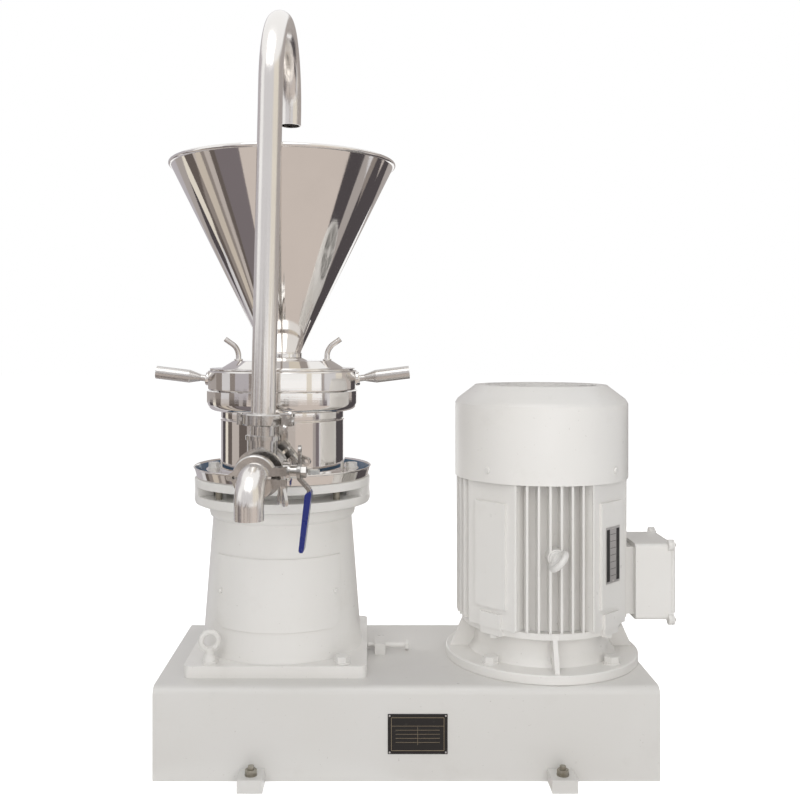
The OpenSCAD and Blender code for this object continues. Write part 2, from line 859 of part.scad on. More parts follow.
module adjusting_handles() {
    reach = (handle_tip - ring_r + 10) / cos(handle_tilt);
    r = grip_d / 2;
    color(steel)
        at_mill() around(2) translate([ring_r - 10, 0, z_ring + ring_h * 0.52]) rotate([0, 90 - handle_tilt, 0])
            rotate_extrude()
                polygon([
                    [0, 0], [6, 0], [6, 24], [r, 46], [r, reach - 3], [r - 3, reach], [0, reach]
                ]);
}

// Valve and pipes
module valve_body() {
    end = valve_half - gasket_t / 2;
    top = riser_half - gasket_t / 2;
    color(steel)
        at_valve() difference() {
            union() {
                rotate([0, 90, 0]) cylinder(h = 68, r = valve_r - 5, center = true);
                for (s = [-1, 1])
                    translate([s * 30, 0, 0]) rotate([0, 90, 0]) cylinder(h = 10, r = valve_r, center = true);
                cylinder(h = 54, r = 24);
                translate([0, 0, 50]) cylinder(h = 7, r = 27.5);
                translate([0, 0, 40]) cylinder(h = top - 50, r = pipe_r);
                translate([0, 0, top]) ferrule(20);
                for (s = [0, 180])
                    rotate([0, 0, s]) translate([end, 0, 0]) rotate([0, 90, 0]) ferrule(20);
                for (s = [0, 180])
                    rotate([0, 0, s]) translate([20, 0, 0]) rotate([0, 90, 0]) cylinder(h = end - 30, r = pipe_r);
                rotate([-90, 0, 0]) cylinder(h = lever_y - 12, r = 15);
                rotate([-90, 0, 0]) cylinder(h = lever_y - 1, r = 11);
            }
            sphere(ball_r + 0.4);
            rotate([0, 90, 0]) cylinder(h = 4 * valve_half, r = pipe_in, center = true);
            cylinder(h = 2 * riser_half, r = pipe_in);
            rotate([-90, 0, 0]) cylinder(h = 2 * lever_y, r = stem_r + slide_fit);
        }
}

module valve_ball() {
    color(steel)
        at_valve() difference() {
            sphere(ball_r);
            rotate([0, 90, 0]) cylinder(h = 4 * ball_r, r = 15, center = true);
            cylinder(h = 2 * ball_r, r = 15);
            translate([-4, ball_r - 6, -8]) cube([8, 10, 16]);
        }
}

module valve_stem() {
    color(dull)
        at_valve() {
            translate([-3.8, ball_r - 5.8, -5]) cube([7.6, 8, 10]);
            rotate([-90, 0, 0]) translate([0, 0, ball_r + 1]) cylinder(h = lever_y + 13 - ball_r, r = stem_r);
        }
}

module valve_lever() {
    color(steel)
        at_valve() difference() {
            union() {
                rotate([-90, 0, 0]) translate([0, 0, lever_y]) cylinder(h = 5, r = 14);
                rotate([90, 0, 90]) linear_extrude(22, center = true)
                    polygon([
                        [lever_y, 0], [lever_y + 5, 0], [lever_y + 5, -9], [lever_out(-27), -27],
                        [lever_out(-125), -125], [lever_out(-125) - 5, -125],
                        [lever_out(-29) - 5, -29], [lever_y, -11]
                    ]);
                translate([-6, lever_y + 0.2, 0]) cube([12, 4.6, 34]);
                rotate([-90, 0, 0]) translate([0, -34, lever_y + 0.1]) cylinder(h = 4.8, r = 9);
            }
            rotate([-90, 0, 0]) cylinder(h = 2 * lever_y, r = stem_r + shaft_fit);
            rotate([-90, 0, 0]) translate([0, -34, 0]) cylinder(h = 2 * lever_y, r = 3.6);
        }
}

module lever_grip() {
    color(blue)
        at_valve() difference() {
            rotate([90, 0, 90]) linear_extrude(27, center = true)
                polygon([
                    [lever_out(-31) + 0.6, -29], [lever_out(-34) + 2.8, -33], [lever_out(-80) + 2.2, -80],
                    [lever_out(-125) + 1.6, -125], [lever_out(-128), -128], [lever_out(-128) - 4.6, -128],
                    [lever_out(-125) - 6.8, -125], [lever_out(-80) - 7.2, -80], [lever_out(-37) - 7.8, -37],
                    [lever_out(-34) - 6.2, -33]
                ]);
            rotate([90, 0, 90]) linear_extrude(22.2, center = true)
                polygon([
                    [lever_out(-27) + 0.1, -27], [lever_out(-125.2) + 0.1, -125.2],
                    [lever_out(-125.2) - 5.1, -125.2], [lever_out(-27) - 5.1, -27]
                ]);
        }
}

module lever_nut() {
    color(dull)
        at_valve() rotate([-90, 0, 0]) translate([0, 0, lever_y + 5])
            difference() {
                hex(12, 9);
                translate([0, 0, -1]) cylinder(h = 11, r = stem_r + shaft_fit);
            }
}

// Pipe path of the elbow, widening from the pipe bore to radius r
module elbow_path(r, less, more) {
    x0 = spout_x + gasket_t / 2 + 14;
    translate([x0 - 15, 0, 0]) rotate([0, 90, 0]) cylinder(h = 12, r = pipe_r - less);
    translate([x0 - 4, 0, 0]) rotate([0, 90, 0]) cylinder(h = 4.5, r1 = pipe_r - less - 0.1, r2 = r - 0.1);
    translate([x0, 0, -elbow_r]) rotate([90, 0, 0])
        rotate_extrude(angle = 90) translate([elbow_r, 0]) circle(r);
    translate([x0 + elbow_r, 0, -elbow_r - spout_l - more]) cylinder(h = spout_l + more + 0.6, r = r - 0.1);
}

module discharge_elbow() {
    color(steel)
        at_outlet() difference() {
            union() {
                translate([spout_x + gasket_t / 2, 0, 0]) rotate([0, -90, 0]) ferrule(8);
                intersection() {
                    elbow_path(spout_r, 0, 0);
                    translate([spout_x + 4, -50, -150]) cube([200, 100, 300]);
                }
            }
            elbow_path(spout_r - pipe_t, pipe_t, 1);
        }
}

// Pipe path of the return pipe, drawn at radius r
module hook_path(r, more) {
    low = riser_half + gasket_t / 2;
    translate([valve_x, 0, low + 4]) cylinder(h = hook_z - outlet_z - low - 4, r = r);
    translate([hook_r, 0, hook_z - outlet_z]) rotate([90, 0, 0])
        rotate_extrude(angle = 180) translate([hook_r, 0]) circle(r);
    translate([0, 0, hook_z - outlet_z - hook_tail - more]) cylinder(h = hook_tail + more, r = r);
}

module circulation_pipe() {
    color(steel)
        at_line() difference() {
            union() {
                translate([valve_x, 0, riser_half + gasket_t / 2]) rotate([180, 0, 0]) ferrule(8);
                hook_path(pipe_r, 0);
            }
            hook_path(pipe_in, 1);
        }
}

// Places of the three clamps
module at_outlet_clamp() {
    at_outlet() translate([outlet_x, 0, 0]) rotate([90, 0, 90]) rotate([0, 0, 40]) children();
}

module at_discharge_clamp() {
    at_outlet() translate([spout_x, 0, 0]) rotate([90, 0, 90]) children();
}

module at_riser_clamp() {
    at_valve() translate([0, 0, riser_half]) rotate([0, 0, 90]) children();
}

module clamp_section() {
    polygon([
        [ferrule_r + 0.6, groove_z(ferrule_r)], [pipe_r + 1.2, groove_z(pipe_r + 1.2)],
        [pipe_r + 1.2, clamp_half], [clamp_r - 2, clamp_half], [clamp_r, clamp_half - 2],
        [clamp_r, 2 - clamp_half], [clamp_r - 2, -clamp_half], [pipe_r + 1.2, -clamp_half],
        [pipe_r + 1.2, -groove_z(pipe_r + 1.2)], [ferrule_r + 0.6, -groove_z(ferrule_r)]
    ]);
}

// Clamp with its hinge on the left, its bolt on the right and the nut below
module clamp() {
    $fn = 32;
    hinge = -clamp_r - 4;
    difference() {
        union() {
            rotate([0, 0, 4]) rotate_extrude(angle = 172) clamp_section();
            for (z = [-clamp_half, 3.2])
                translate([0, 0, z]) linear_extrude(clamp_half - 3.2) {
                    translate([hinge, 0]) circle(5);
                    polygon([[hinge, 0], [hinge, 5], [6 - clamp_r, 13], [3 - clamp_r, 2.6]]);
                }
            translate([clamp_r - 5, 2.6, -clamp_half]) cube([21, 13, 2 * clamp_half]);
        }
        translate([hinge, 0, -clamp_half - 1]) cylinder(h = 2 * clamp_half + 2, r = 2.7);
        translate([clamp_r + 1, 0, -4.3]) cube([30, 30, 8.6]);
        translate([clamp_bolt_x, 9, -clamp_half - 1]) cylinder(h = 2 * clamp_half + 2, r = 2.7);
    }
    difference() {
        union() {
            rotate([0, 0, 184]) rotate_extrude(angle = 172) clamp_section();
            translate([0, 0, -3]) linear_extrude(6) {
                translate([hinge, 0]) circle(5);
                polygon([[hinge, 0], [hinge, -5], [6 - clamp_r, -13], [3 - clamp_r, -2.6]]);
            }
            translate([clamp_r - 5, -13, -clamp_half]) cube([20, 10.4, 2 * clamp_half]);
        }
        translate([hinge, 0, -clamp_half - 1]) cylinder(h = 2 * clamp_half + 2, r = 2.7);
        translate([clamp_r + 1, -30, -4.3]) cube([30, 30, 8.6]);
    }
    translate([hinge, 0, -clamp_half]) cylinder(h = 2 * clamp_half, r = 2.5);
    translate([clamp_bolt_x, 9, -clamp_half]) cylinder(h = 2 * clamp_half, r = 2.5);
    difference() {
        union() {
            translate([clamp_bolt_x, 9, -4.1]) cylinder(h = 8.2, r = 6.4);
            translate([clamp_bolt_x, 5, 0]) rotate([90, 0, 0]) cylinder(h = 41, r = clamp_bolt_r);
        }
        translate([clamp_bolt_x, 9, -5]) cylinder(h = 10, r = 2.7);
    }
}

module clamps() {
    color(steel) {
        at_outlet_clamp() clamp();
        at_discharge_clamp() clamp();
        at_riser_clamp() clamp();
    }
}

module clamp_gaskets() {
    color(paint)
        for (k = [0:2]) {
            if (k == 0) at_outlet_clamp() translate([0, 0, -gasket_t / 2 + 0.1]) gasket();
            if (k == 1) at_discharge_clamp() translate([0, 0, -gasket_t / 2 + 0.1]) gasket();
            if (k == 2) at_riser_clamp() translate([0, 0, -gasket_t / 2 + 0.1]) gasket();
        }
}

module gasket() {
    tube(ferrule_r - 0.5, pipe_in, gasket_t - 0.2);
}

// Wing nut on the clamp bolt, its foot against the lower clamp half
module wing_nut(turn) {
    color(steel)
        translate([clamp_bolt_x, -13.3, 0]) rotate([90, 0, 0]) rotate([0, 0, turn])
            difference() {
                union() {
                    cylinder(h = 14, r1 = 8, r2 = 6.5);
                    rotate([90, 0, 0]) linear_extrude(5, center = true)
                        for (s = [-1, 1]) {
                            translate([s * 11.5, 23]) circle(7.5);
                            polygon([[0, 2], [s * 7, 2], [s * 18.8, 21], [s * 4.2, 24.5], [s * 4.2, 12], [0, 12]]);
                        }
                }
                translate([0, 0, -1]) cylinder(h = 40, r = clamp_bolt_r + 0.1);
                rotate([90, 0, 0]) linear_extrude(12, center = true)
                    for (s = [-1, 1])
                        translate([s * 11.7, 22.5]) circle(3.8);
            }
}

module outlet_wing_nut() {
    at_outlet_clamp() wing_nut(20);
}

module discharge_wing_nut() {
    at_discharge_clamp() wing_nut(62);
}

module riser_wing_nut() {
    at_riser_clamp() wing_nut(70);
}

// Motor
module motor_shield() {
    f = base_h;
    color(paint)
        at_motor() difference() {
            union() {
                rotate_extrude()
                    polygon([
                        [30, f + 4], [spigot_motor_r - 14, f + 4], [spigot_motor_r - 14, f - 5], [spigot_motor_r, f - 5], [spigot_motor_r, f],
                        [motor_flange_d / 2 - 1, f], [motor_flange_d / 2, f + 1], [motor_flange_d / 2, f + 14],
                        [motor_flange_d / 2 - 2, f + 16], [core_r + 3, f + 16], [core_r - 7, f + 30],
                        [core_r - 10, f + 46], [core_r - 10, f + 62], [core_r - 4, f + 66],
                        [motor_r - 11, f + 66], [motor_r - 10, f + 67], [motor_r - 10, z_frame - 0.3], [bore_r - 10, z_frame - 0.3], [bore_r - 10, f + 18],
                        [62, f + 18], [62, f + 42], [brg_r, f + 42], [brg_r, f + 16], [30, f + 16]
                    ]);
                around(4) rotate([90, 0, 0]) linear_extrude(8, center = true)
                    polygon([
                        [bore_r - 2, f + 12], [motor_flange_d / 2 - 8, f + 12], [motor_flange_d / 2 - 8, f + 18],
                        [motor_r - 13, f + 74], [bore_r - 2, f + 74]
                    ]);
                around(4, 45) translate([bore_r, -22, f + 66]) cube([motor_r - 5 - bore_r, 44, 11.7]);
            }
            around(4, 45) translate([motor_bolt_pcr, 0, f - 1]) cylinder(h = 20, r = stand_bolt_d / 2 + hole_gap);
            around(4, 45) translate([motor_r - 15, 0, f + 60]) cylinder(h = 30, r = 5.4);
        }
}

module motor_frame() {
    color(paint)
        at_motor() difference() {
            union() {
                translate([0, 0, z_frame]) linear_extrude(frame_h) {
                    circle(core_r);
                    for (a = [45:90:315])
                        rotate(a) translate([90, -50]) square([pad_d - 90, 100]);
                }
                translate([0, 0, z_frame + 3]) linear_extrude(frame_h - 3)
                    intersection() {
                        circle(motor_r);
                        for (a = [0, 90], i = [0:7])
                            rotate(a) translate([(i - 3.5) * fin_pitch - fin_t / 2, -motor_r - 1])
                                square([fin_t, 2 * motor_r + 2]);
                    }
                around(4, 45) translate([pad_d - 1, -33, z_frame + 36]) cube([6, 66, frame_h - 76]);
                around(4, 45) translate([bore_r, -23, z_frame]) cube([motor_r - 3 - bore_r, 46, 26]);
                translate([bore_r, -48, z_frame + 8]) cube([term_x - bore_r, 96, term_h - 16]);
                translate([0, 0, z_frame + 132]) rotate([90, 0, 0]) cylinder(h = motor_r + 3, r = 15);
            }
            translate([0, 0, z_frame - 1]) cylinder(h = frame_h + 2, r = bore_r);
            around(4, 45) translate([motor_r - 15, 0, z_frame - 1]) cylinder(h = 20, r = 5.2);
            translate([0, 0, z_frame + 132]) rotate([90, 0, 0]) cylinder(h = motor_r + 10, r = 6.2);
            translate([bore_r - 5, 0, z_frame + term_h / 2]) rotate([0, 90, 0]) cylinder(h = 80, r = 18);
        }
}

module upper_shield() {
    color(paint)
        at_motor() difference() {
            union() {
                rotate_extrude()
                    polygon([
                        [30, z_frame_top + 12], [core_r - 3, z_frame_top + 12], [core_r - 3, z_frame_top],
                        [bore_r - slide_fit, z_frame_top], [bore_r - slide_fit, z_frame_top - 8],
                        [bore_r - 12, z_frame_top - 8], [bore_r - 12, z_frame_top], [62, z_frame_top],
                        [62, z_frame_top - 32], [brg_r, z_frame_top - 32], [brg_r, z_frame_top - 5],
                        [30, z_frame_top - 5]
                    ]);
                around(4, 45) translate([core_r - 20, -12, z_frame_top + 1])
                    cube([motor_r + 0.5 - core_r + 20, 24, 34]);
            }
            around(4, 45) translate([core_r, 0, z_frame_top + 16]) rotate([0, 90, 0]) cylinder(h = 40, r = 3.2);
        }
}

module shield_bolts() {
    color(dull)
        at_motor() around(4, 45) translate([motor_r - 15, 0, base_h + 66]) {
            translate([0, 0, -6.5]) hex(10, 6.5);
            translate([0, 0, -1]) cylinder(h = 30, r = 5);
        }
}

module flange_bolts() {
    color(dull)
        motor_spots() translate([0, 0, base_h + 16]) through_bolt(stand_bolt_d, 16 + base_wall, 10);
}

module fan_cover() {
    z0 = z_frame_top - 6;
    z1 = z_frame_top + fan_h - 33;
    z2 = z_frame_top + fan_h;
    r = fan_cover_r;
    top = r - 37;
    color(paint)
        at_motor() difference() {
            rotate_extrude()
                polygon([
                    [r - 2, z0], [r, z0], [r, z1], [r - 5, z1 + 8], [top + 2, z2 - 2], [top, z2],
                    [top - 1, z2], [top - 1, z2 - 2], [r - 7, z1 + 7], [r - 2, z1 - 0.5]
                ]);
            around(4, 45) translate([core_r, 0, z_frame_top + 16]) rotate([0, 90, 0]) cylinder(h = 60, r = 3.4);
        }
}

module fan_grille() {
    top = fan_cover_r - 37;
    color(paint)
        at_motor() translate([0, 0, z_frame_top + fan_h - 2]) linear_extrude(2)
            difference() {
                circle(top - 1.1);
                difference() {
                    union() {
                        for (k = [0:4])
                            difference() {
                                circle(38 + k * 16);
                                circle(28 + k * 16);
                            }
                    }
                    for (a = [0:60:120])
                        rotate(a) square([2 * top, 8], center = true);
                }
            }
}

module fan_cover_screws() {
    color(dull)
        at_motor() around(4, 45) translate([fan_cover_r, 0, z_frame_top + 16]) rotate([0, 90, 0]) {
            cylinder(h = 3.5, r1 = 6, r2 = 4.5);
            translate([0, 0, -20]) cylinder(h = 21, r = 3);
        }
}

module motor_eye() {
    color(dull)
        at_motor() translate([0, -motor_r - 3, z_frame + 132]) rotate([90, 0, 0]) {
            translate([0, 0, -24]) cylinder(h = 30, r = 6);
            cylinder(h = 4, r = 13);
            translate([0, 0, 3.5]) cylinder(h = 7.5, r1 = 11, r2 = 7.5);
            translate([0, 0, 24]) rotate([0, 90, -40]) rotate_extrude() translate([16.5, 0]) circle(5.3);
        }
}

module motor_stator() {
    z0 = z_frame + 52;
    z1 = z_frame_top - 68;
    color(copper)
        at_motor() rotate_extrude()
            polygon([
                [77, z0], [bore_r - 0.05, z0], [bore_r - 0.05, z1], [bore_r - 8, z1], [bore_r - 10, z1 + 18],
                [82, z1 + 18], [82, z1], [77, z1], [77, z1 - 1], [77, z0 + 1]
            ]);
}

module motor_bearings() {
    color(steel)
        at_motor() {
            translate([0, 0, base_h + 16]) ball_bearing();
            translate([0, 0, z_frame_top - 30]) ball_bearing();
        }
}

module motor_rotor() {
    f = base_h;
    t = z_frame_top;
    color(dull)
        at_motor() rotate_extrude()
            polygon([
                [0, spindle_z], [shaft_r - 1, spindle_z], [shaft_r, spindle_z + 1], [shaft_r, f + 10],
                [brg_in - shaft_fit, f + 10], [brg_in - shaft_fit, f + 41], [26, f + 41],
                [26, z_frame + 52], [76, z_frame + 52], [76, t - 68], [26, t - 68], [26, t - 30],
                [brg_in - shaft_fit, t - 30], [brg_in - shaft_fit, t - 5], [17.5, t - 5],
                [17.5, t + 72], [0, t + 72]
            ]);
}

module motor_fan() {
    z = z_frame_top + 20;
    color(dark)
        at_motor() {
            translate([0, 0, z]) tube(28, 17.5 + shaft_fit, 44);
            translate([0, 0, z]) tube(motor_r - 45, 26, 3);
            around(8) translate([26, -1.5, z + 1]) cube([motor_r - 71, 3, 40]);
        }
}

// Terminal box on the right of the motor
module ears(w, h, r) {
    round_square(w, h, 8);
    for (x = [-1, 1], y = [-1, 1])
        translate([x * (w / 2 - 2), y * (h / 2 - 2)]) circle(r);
}

module at_terminal() {
    at_motor() translate([term_x, 0, term_z + term_h / 2]) rotate([90, 0, 90]) children();
}

module terminal_box() {
    color(paint)
        at_terminal() difference() {
            union() {
                linear_extrude(term_l) round_square(term_w, term_h, 8);
                translate([0, 0, term_l - 7]) linear_extrude(7) ears(term_w, term_h, 10);
            }
            translate([0, 0, 4]) linear_extrude(term_l) round_square(term_w - 9, term_h - 9, 5);
            translate([0, 0, -1]) cylinder(h = 10, r = 18);
            rotate([-90, 0, 90]) translate([0, -term_l / 2, -1 - term_w / 2]) cylinder(h = 10, r = 10.2);
        }
}

module terminal_lid() {
    color(paint)
        at_terminal() translate([0, 0, term_l]) {
            linear_extrude(4) ears(term_w, term_h, 10);
            translate([0, 0, 3]) linear_extrude(6) round_square(term_w - 18, term_h - 18, 8);
        }
}

module cable_gland() {
    color(dark)
        at_motor() translate([term_x + term_l / 2, term_w / 2, term_z + term_h / 2]) rotate([-90, 0, 0])
            difference() {
                union() {
                    translate([0, 0, -6]) cylinder(h = 10, r = 10);
                    cylinder(h = 7, r = 15, $fn = 6);
                    translate([0, 0, 7]) cylinder(h = 13, r1 = 13, r2 = 10.5);
                }
                translate([0, 0, -7]) cylinder(h = 40, r = 6);
            }
}

base_deck();
base_walls();
base_lugs();
foot_bolts();
tension_screw();
pedestal_plate();
pedestal();
pedestal_cover();
pedestal_screws();
pedestal_bolts();
lifting_eye();
bearing_housing();
flange_studs();
spindle_bearings();
bearing_cap();
shaft_seals();
drip_tray();
mill_housing();
housing_bolts();
threaded_collar();
stator();
feed_cover();
cooling_nipples();
hopper_union();
hopper();
adjusting_ring();
ring_retainer();
adjusting_handles();
spindle();
rotor();
rotor_nut();
mill_pulley();
motor_shield();
motor_frame();
upper_shield();
shield_bolts();
flange_bolts();
fan_cover();
fan_grille();
fan_cover_screws();
motor_eye();
motor_stator();
motor_bearings();
motor_rotor();
motor_fan();
motor_pulley();
terminal_box();
terminal_lid();
cable_gland();
v_belts();
valve_body();
valve_ball();
valve_stem();
valve_lever();
lever_grip();
lever_nut();
discharge_elbow();
circulation_pipe();
clamps();
clamp_gaskets();
outlet_wing_nut();
discharge_wing_nut();
riser_wing_nut();
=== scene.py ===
"""Colloid mill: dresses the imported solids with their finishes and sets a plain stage."""
import math

import bmesh
import bpy
from bpy.props import FloatProperty, FloatVectorProperty, IntProperty, PointerProperty
from mathutils import Matrix, Vector


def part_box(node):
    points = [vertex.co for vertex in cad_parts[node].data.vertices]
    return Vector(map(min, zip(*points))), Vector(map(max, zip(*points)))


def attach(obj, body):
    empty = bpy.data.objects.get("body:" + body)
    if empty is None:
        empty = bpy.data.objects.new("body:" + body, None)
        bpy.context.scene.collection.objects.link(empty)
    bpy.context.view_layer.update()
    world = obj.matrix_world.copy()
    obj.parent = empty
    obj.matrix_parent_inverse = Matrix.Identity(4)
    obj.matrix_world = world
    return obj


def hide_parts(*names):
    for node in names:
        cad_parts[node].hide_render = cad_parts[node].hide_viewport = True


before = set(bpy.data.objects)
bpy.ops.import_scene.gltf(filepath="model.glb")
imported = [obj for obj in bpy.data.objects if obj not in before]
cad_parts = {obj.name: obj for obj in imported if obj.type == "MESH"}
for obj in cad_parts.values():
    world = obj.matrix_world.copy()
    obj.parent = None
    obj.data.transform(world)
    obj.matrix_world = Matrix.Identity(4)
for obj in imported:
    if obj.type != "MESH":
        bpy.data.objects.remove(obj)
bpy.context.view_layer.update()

bl_info = {
    "name": "Colloid mill",
    "version": (1, 0, 0),
    "blender": (4, 5, 0),
    "location": "View3D > Sidebar > Mill",
    "description": "Dresses the solids of a colloid mill and sets a plain stage round it",
    "category": "Object",
}

MM = 0.001


def middle(node):
    """The middle of a node's box, in metres."""
    low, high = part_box(node)
    return (low + high) / 2


def base_of(node):
    """Lowest height of a node, in millimetres."""
    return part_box(node)[0].z / MM


def top_of(node):
    """Highest height of a node, in millimetres."""
    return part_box(node)[1].z / MM


MILL = Matrix.Translation((middle("feed_cover").x, middle("feed_cover").y, 0))
MOTOR = Matrix.Translation((middle("fan_cover").x, middle("fan_cover").y, 0))
Z_TRAY = base_of("drip_tray")
Z_HOUSE = base_of("mill_housing")
Z_COLLAR = base_of("threaded_collar")
Z_RING = base_of("adjusting_ring")
Z_RING_TOP = base_of("ring_retainer")
Z_HUB = top_of("feed_cover")
Z_CONE = top_of("hopper_union")
Z_RIM = top_of("hopper") - 3
HOPPER_R = (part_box("hopper")[1].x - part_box("hopper")[0].x) / 2 / MM - 5
HOUSE_R = 116
HOUSE_FACE = 185
NIPPLE_X = 83
COLLAR_R = 141
RING_R = 139
TRAY_R = 164
PIPE_R = 20
PIPE_IN = 18
PIPE_SIDES = 64
FERRULE_R = 26
SPOUT_R = 22.4
VALVE_X = 261
SPOUT_X = 336
RISER = 83
OUTLET_Z = Z_TRAY + 41
OUTLET_TURN = 2.4
VALVE_LEAN = 1.3
HOOK_R = VALVE_X / 2
HOOK_RISE = Z_RIM + 90 - OUTLET_Z
OUTLET = (
    MILL
    @ Matrix.Translation((0, 0, OUTLET_Z * MM))
    @ Matrix.Rotation(math.radians(270 - OUTLET_TURN), 4, "Z")
)
LINE = OUTLET @ Matrix.Rotation(math.radians(-VALVE_LEAN), 4, "X")


class MillSizes(bpy.types.PropertyGroup):
    """Sizes of the dressing that a user would change."""

    cast_edge: FloatProperty(
        name="Casting edge", description="Rounding of the painted castings",
        default=0.0018, min=0, unit="LENGTH")
    plate_edge: FloatProperty(
        name="Plate edge", description="Rounding of painted plate and sheet",
        default=0.0012, min=0, unit="LENGTH")
    steel_edge: FloatProperty(
        name="Steel edge", description="Rounding of turned and forged steel",
        default=0.0008, min=0, unit="LENGTH")
    bolt_edge: FloatProperty(
        name="Bolt edge", description="Rounding of bolts, nuts and screws",
        default=0.0006, min=0, unit="LENGTH")
    turn_steps: IntProperty(
        name="Turning steps", description="Faces round a turned piece",
        default=160, min=24, max=256)
    plate_width: FloatProperty(
        name="Plate width", description="Width of the bare plate on the base",
        default=0.100, unit="LENGTH")
    plate_height: FloatProperty(
        name="Plate height", description="Height of the bare plate on the base",
        default=0.067, unit="LENGTH")
    tag_width: FloatProperty(
        name="Tag width", description="Width of the bare tag on the motor",
        default=0.044, unit="LENGTH")
    tag_height: FloatProperty(
        name="Tag height", description="Height of the bare tag on the motor",
        default=0.098, unit="LENGTH")


class MillColours(bpy.types.PropertyGroup):
    """Colours of the finishes."""

    enamel: FloatVectorProperty(
        name="Enamel", description="Gloss enamel on the castings and the base",
        default=(0.81, 0.797, 0.775), subtype="COLOR", min=0, max=1)
    stainless: FloatVectorProperty(
        name="Stainless steel", description="Polished stainless steel",
        default=(0.86, 0.835, 0.81), subtype="COLOR", min=0, max=1)
    satin: FloatVectorProperty(
        name="Satin steel", description="Cast and blasted stainless steel",
        default=(0.70, 0.68, 0.655), subtype="COLOR", min=0, max=1)
    zinc: FloatVectorProperty(
        name="Zinc", description="Plated bolts",
        default=(0.40, 0.38, 0.33), subtype="COLOR", min=0, max=1)
    vinyl: FloatVectorProperty(
        name="Vinyl", description="Dipped sleeve of the valve lever",
        default=(0.002, 0.013, 0.170), subtype="COLOR", min=0, max=1)
    film: FloatVectorProperty(
        name="Film", description="Protective film in the drip tray",
        default=(0.045, 0.125, 0.23), subtype="COLOR", min=0, max=1)
    plate: FloatVectorProperty(
        name="Plate", description="Dark plate on the base",
        default=(0.014, 0.013, 0.013), subtype="COLOR", min=0, max=1)


class StageSizes(bpy.types.PropertyGroup):
    """Camera and light of the stage."""

    eye: FloatVectorProperty(
        name="Camera", description="Place of the camera",
        default=(-0.0624, -1.8356, 0.7338), subtype="TRANSLATION", unit="LENGTH")
    lens: FloatProperty(
        name="Lens", description="Focal length in millimetres", default=44.325)
    shift_x: FloatProperty(
        name="Shift X", description="Sideways lens shift", default=0.03875)
    shift_y: FloatProperty(
        name="Shift Y", description="Upward lens shift", default=-0.07125)
    sky: FloatProperty(
        name="Sky", description="Strength of the even light all round", default=0.41)
    front: FloatProperty(
        name="Front", description="Power of each of the three lamps in front",
        default=6.7, unit="POWER")
    rear: FloatProperty(
        name="Rear", description="Power of either lamp behind", default=18, unit="POWER")
    top: FloatProperty(
        name="Top", description="Power of the lamp overhead", default=20, unit="POWER")


class Value:
    """A shader socket; arithmetic on it adds Math nodes."""

    def __init__(self, finish, socket):
        self.finish = finish
        self.socket = socket

    def maths(self, operation, first, second):
        return self.finish.node("ShaderNodeMath", "Value", {"operation": operation}, {0: first, 1: second})

    def __add__(self, other):
        return self.maths("ADD", self, other)

    def __rsub__(self, other):
        return self.maths("SUBTRACT", other, self)

    def __mul__(self, other):
        return self.maths("MULTIPLY", self, other)


class Finish:
    """A material, or the world, put together from nodes."""

    def __init__(self, name, tree=None):
        self.material = None
        if tree is None:
            self.material = bpy.data.materials.new(name)
            self.material.use_nodes = True
            tree = self.material.node_tree
        self.tree = tree
        self.tree.nodes.clear()

    def node(self, kind, out, settings, sockets):
        """Adds a node, sets it up, fills its sockets and returns one of its outputs."""
        made = self.tree.nodes.new(kind)
        for key, value in settings.items():
            if key == "stops":
                ramp = made.color_ramp.elements
                while len(ramp) < len(value):
                    ramp.new(0.5)
                for stop, (place, colour) in zip(ramp, value):
                    stop.position = place
                    stop.color = rgba(colour)
            else:
                setattr(made, key, value)
        for key, value in sockets.items():
            if isinstance(value, Value):
                self.tree.links.new(value.socket, made.inputs[key])
            else:
                made.inputs[key].default_value = value
        return Value(self, made.outputs[out]) if out is not None else made

    def place(self, stretch=(1, 1, 1), turn=(0, 0, 0)):
        """Object coordinates, stretched for a grain."""
        point = self.node("ShaderNodeTexCoord", "Object", {}, {})
        return self.node("ShaderNodeMapping", "Vector", {}, {"Vector": point, "Scale": stretch, "Rotation": turn})

    def noise(self, scale, detail=3, stretch=(1, 1, 1), turn=(0, 0, 0), rough=0.55):
        return self.node("ShaderNodeTexNoise", "Fac", {}, {
            "Vector": self.place(stretch, turn), "Scale": scale, "Detail": detail, "Roughness": rough})

    def span(self, value, low, high, to_low=0.0, to_high=1.0):
        return self.node("ShaderNodeMapRange", "Result", {"clamp": True}, {
            "Value": value, "From Min": low, "From Max": high, "To Min": to_low, "To Max": to_high})

    def blend(self, factor, first, second):
        """A colour between two colours."""
        return self.node("ShaderNodeMix", 2, {"data_type": "RGBA"}, {
            0: factor, 6: first if isinstance(first, Value) else rgba(first),
            7: second if isinstance(second, Value) else rgba(second)})

    def bump(self, height, strength, distance=0.001):
        return self.node("ShaderNodeBump", "Normal", {}, {
            "Height": height, "Strength": strength, "Distance": distance})

    def surface(self, shader):
        self.node("ShaderNodeOutputMaterial", None, {}, {"Surface": shader})
        return self.material

    def principled(self, sockets):
        return self.surface(self.node("ShaderNodeBsdfPrincipled", "BSDF", {}, sockets))


def rgba(colour):
    return (colour[0], colour[1], colour[2], 1.0)


def shade(colour, factor):
    return tuple(channel * factor for channel in colour[:3])


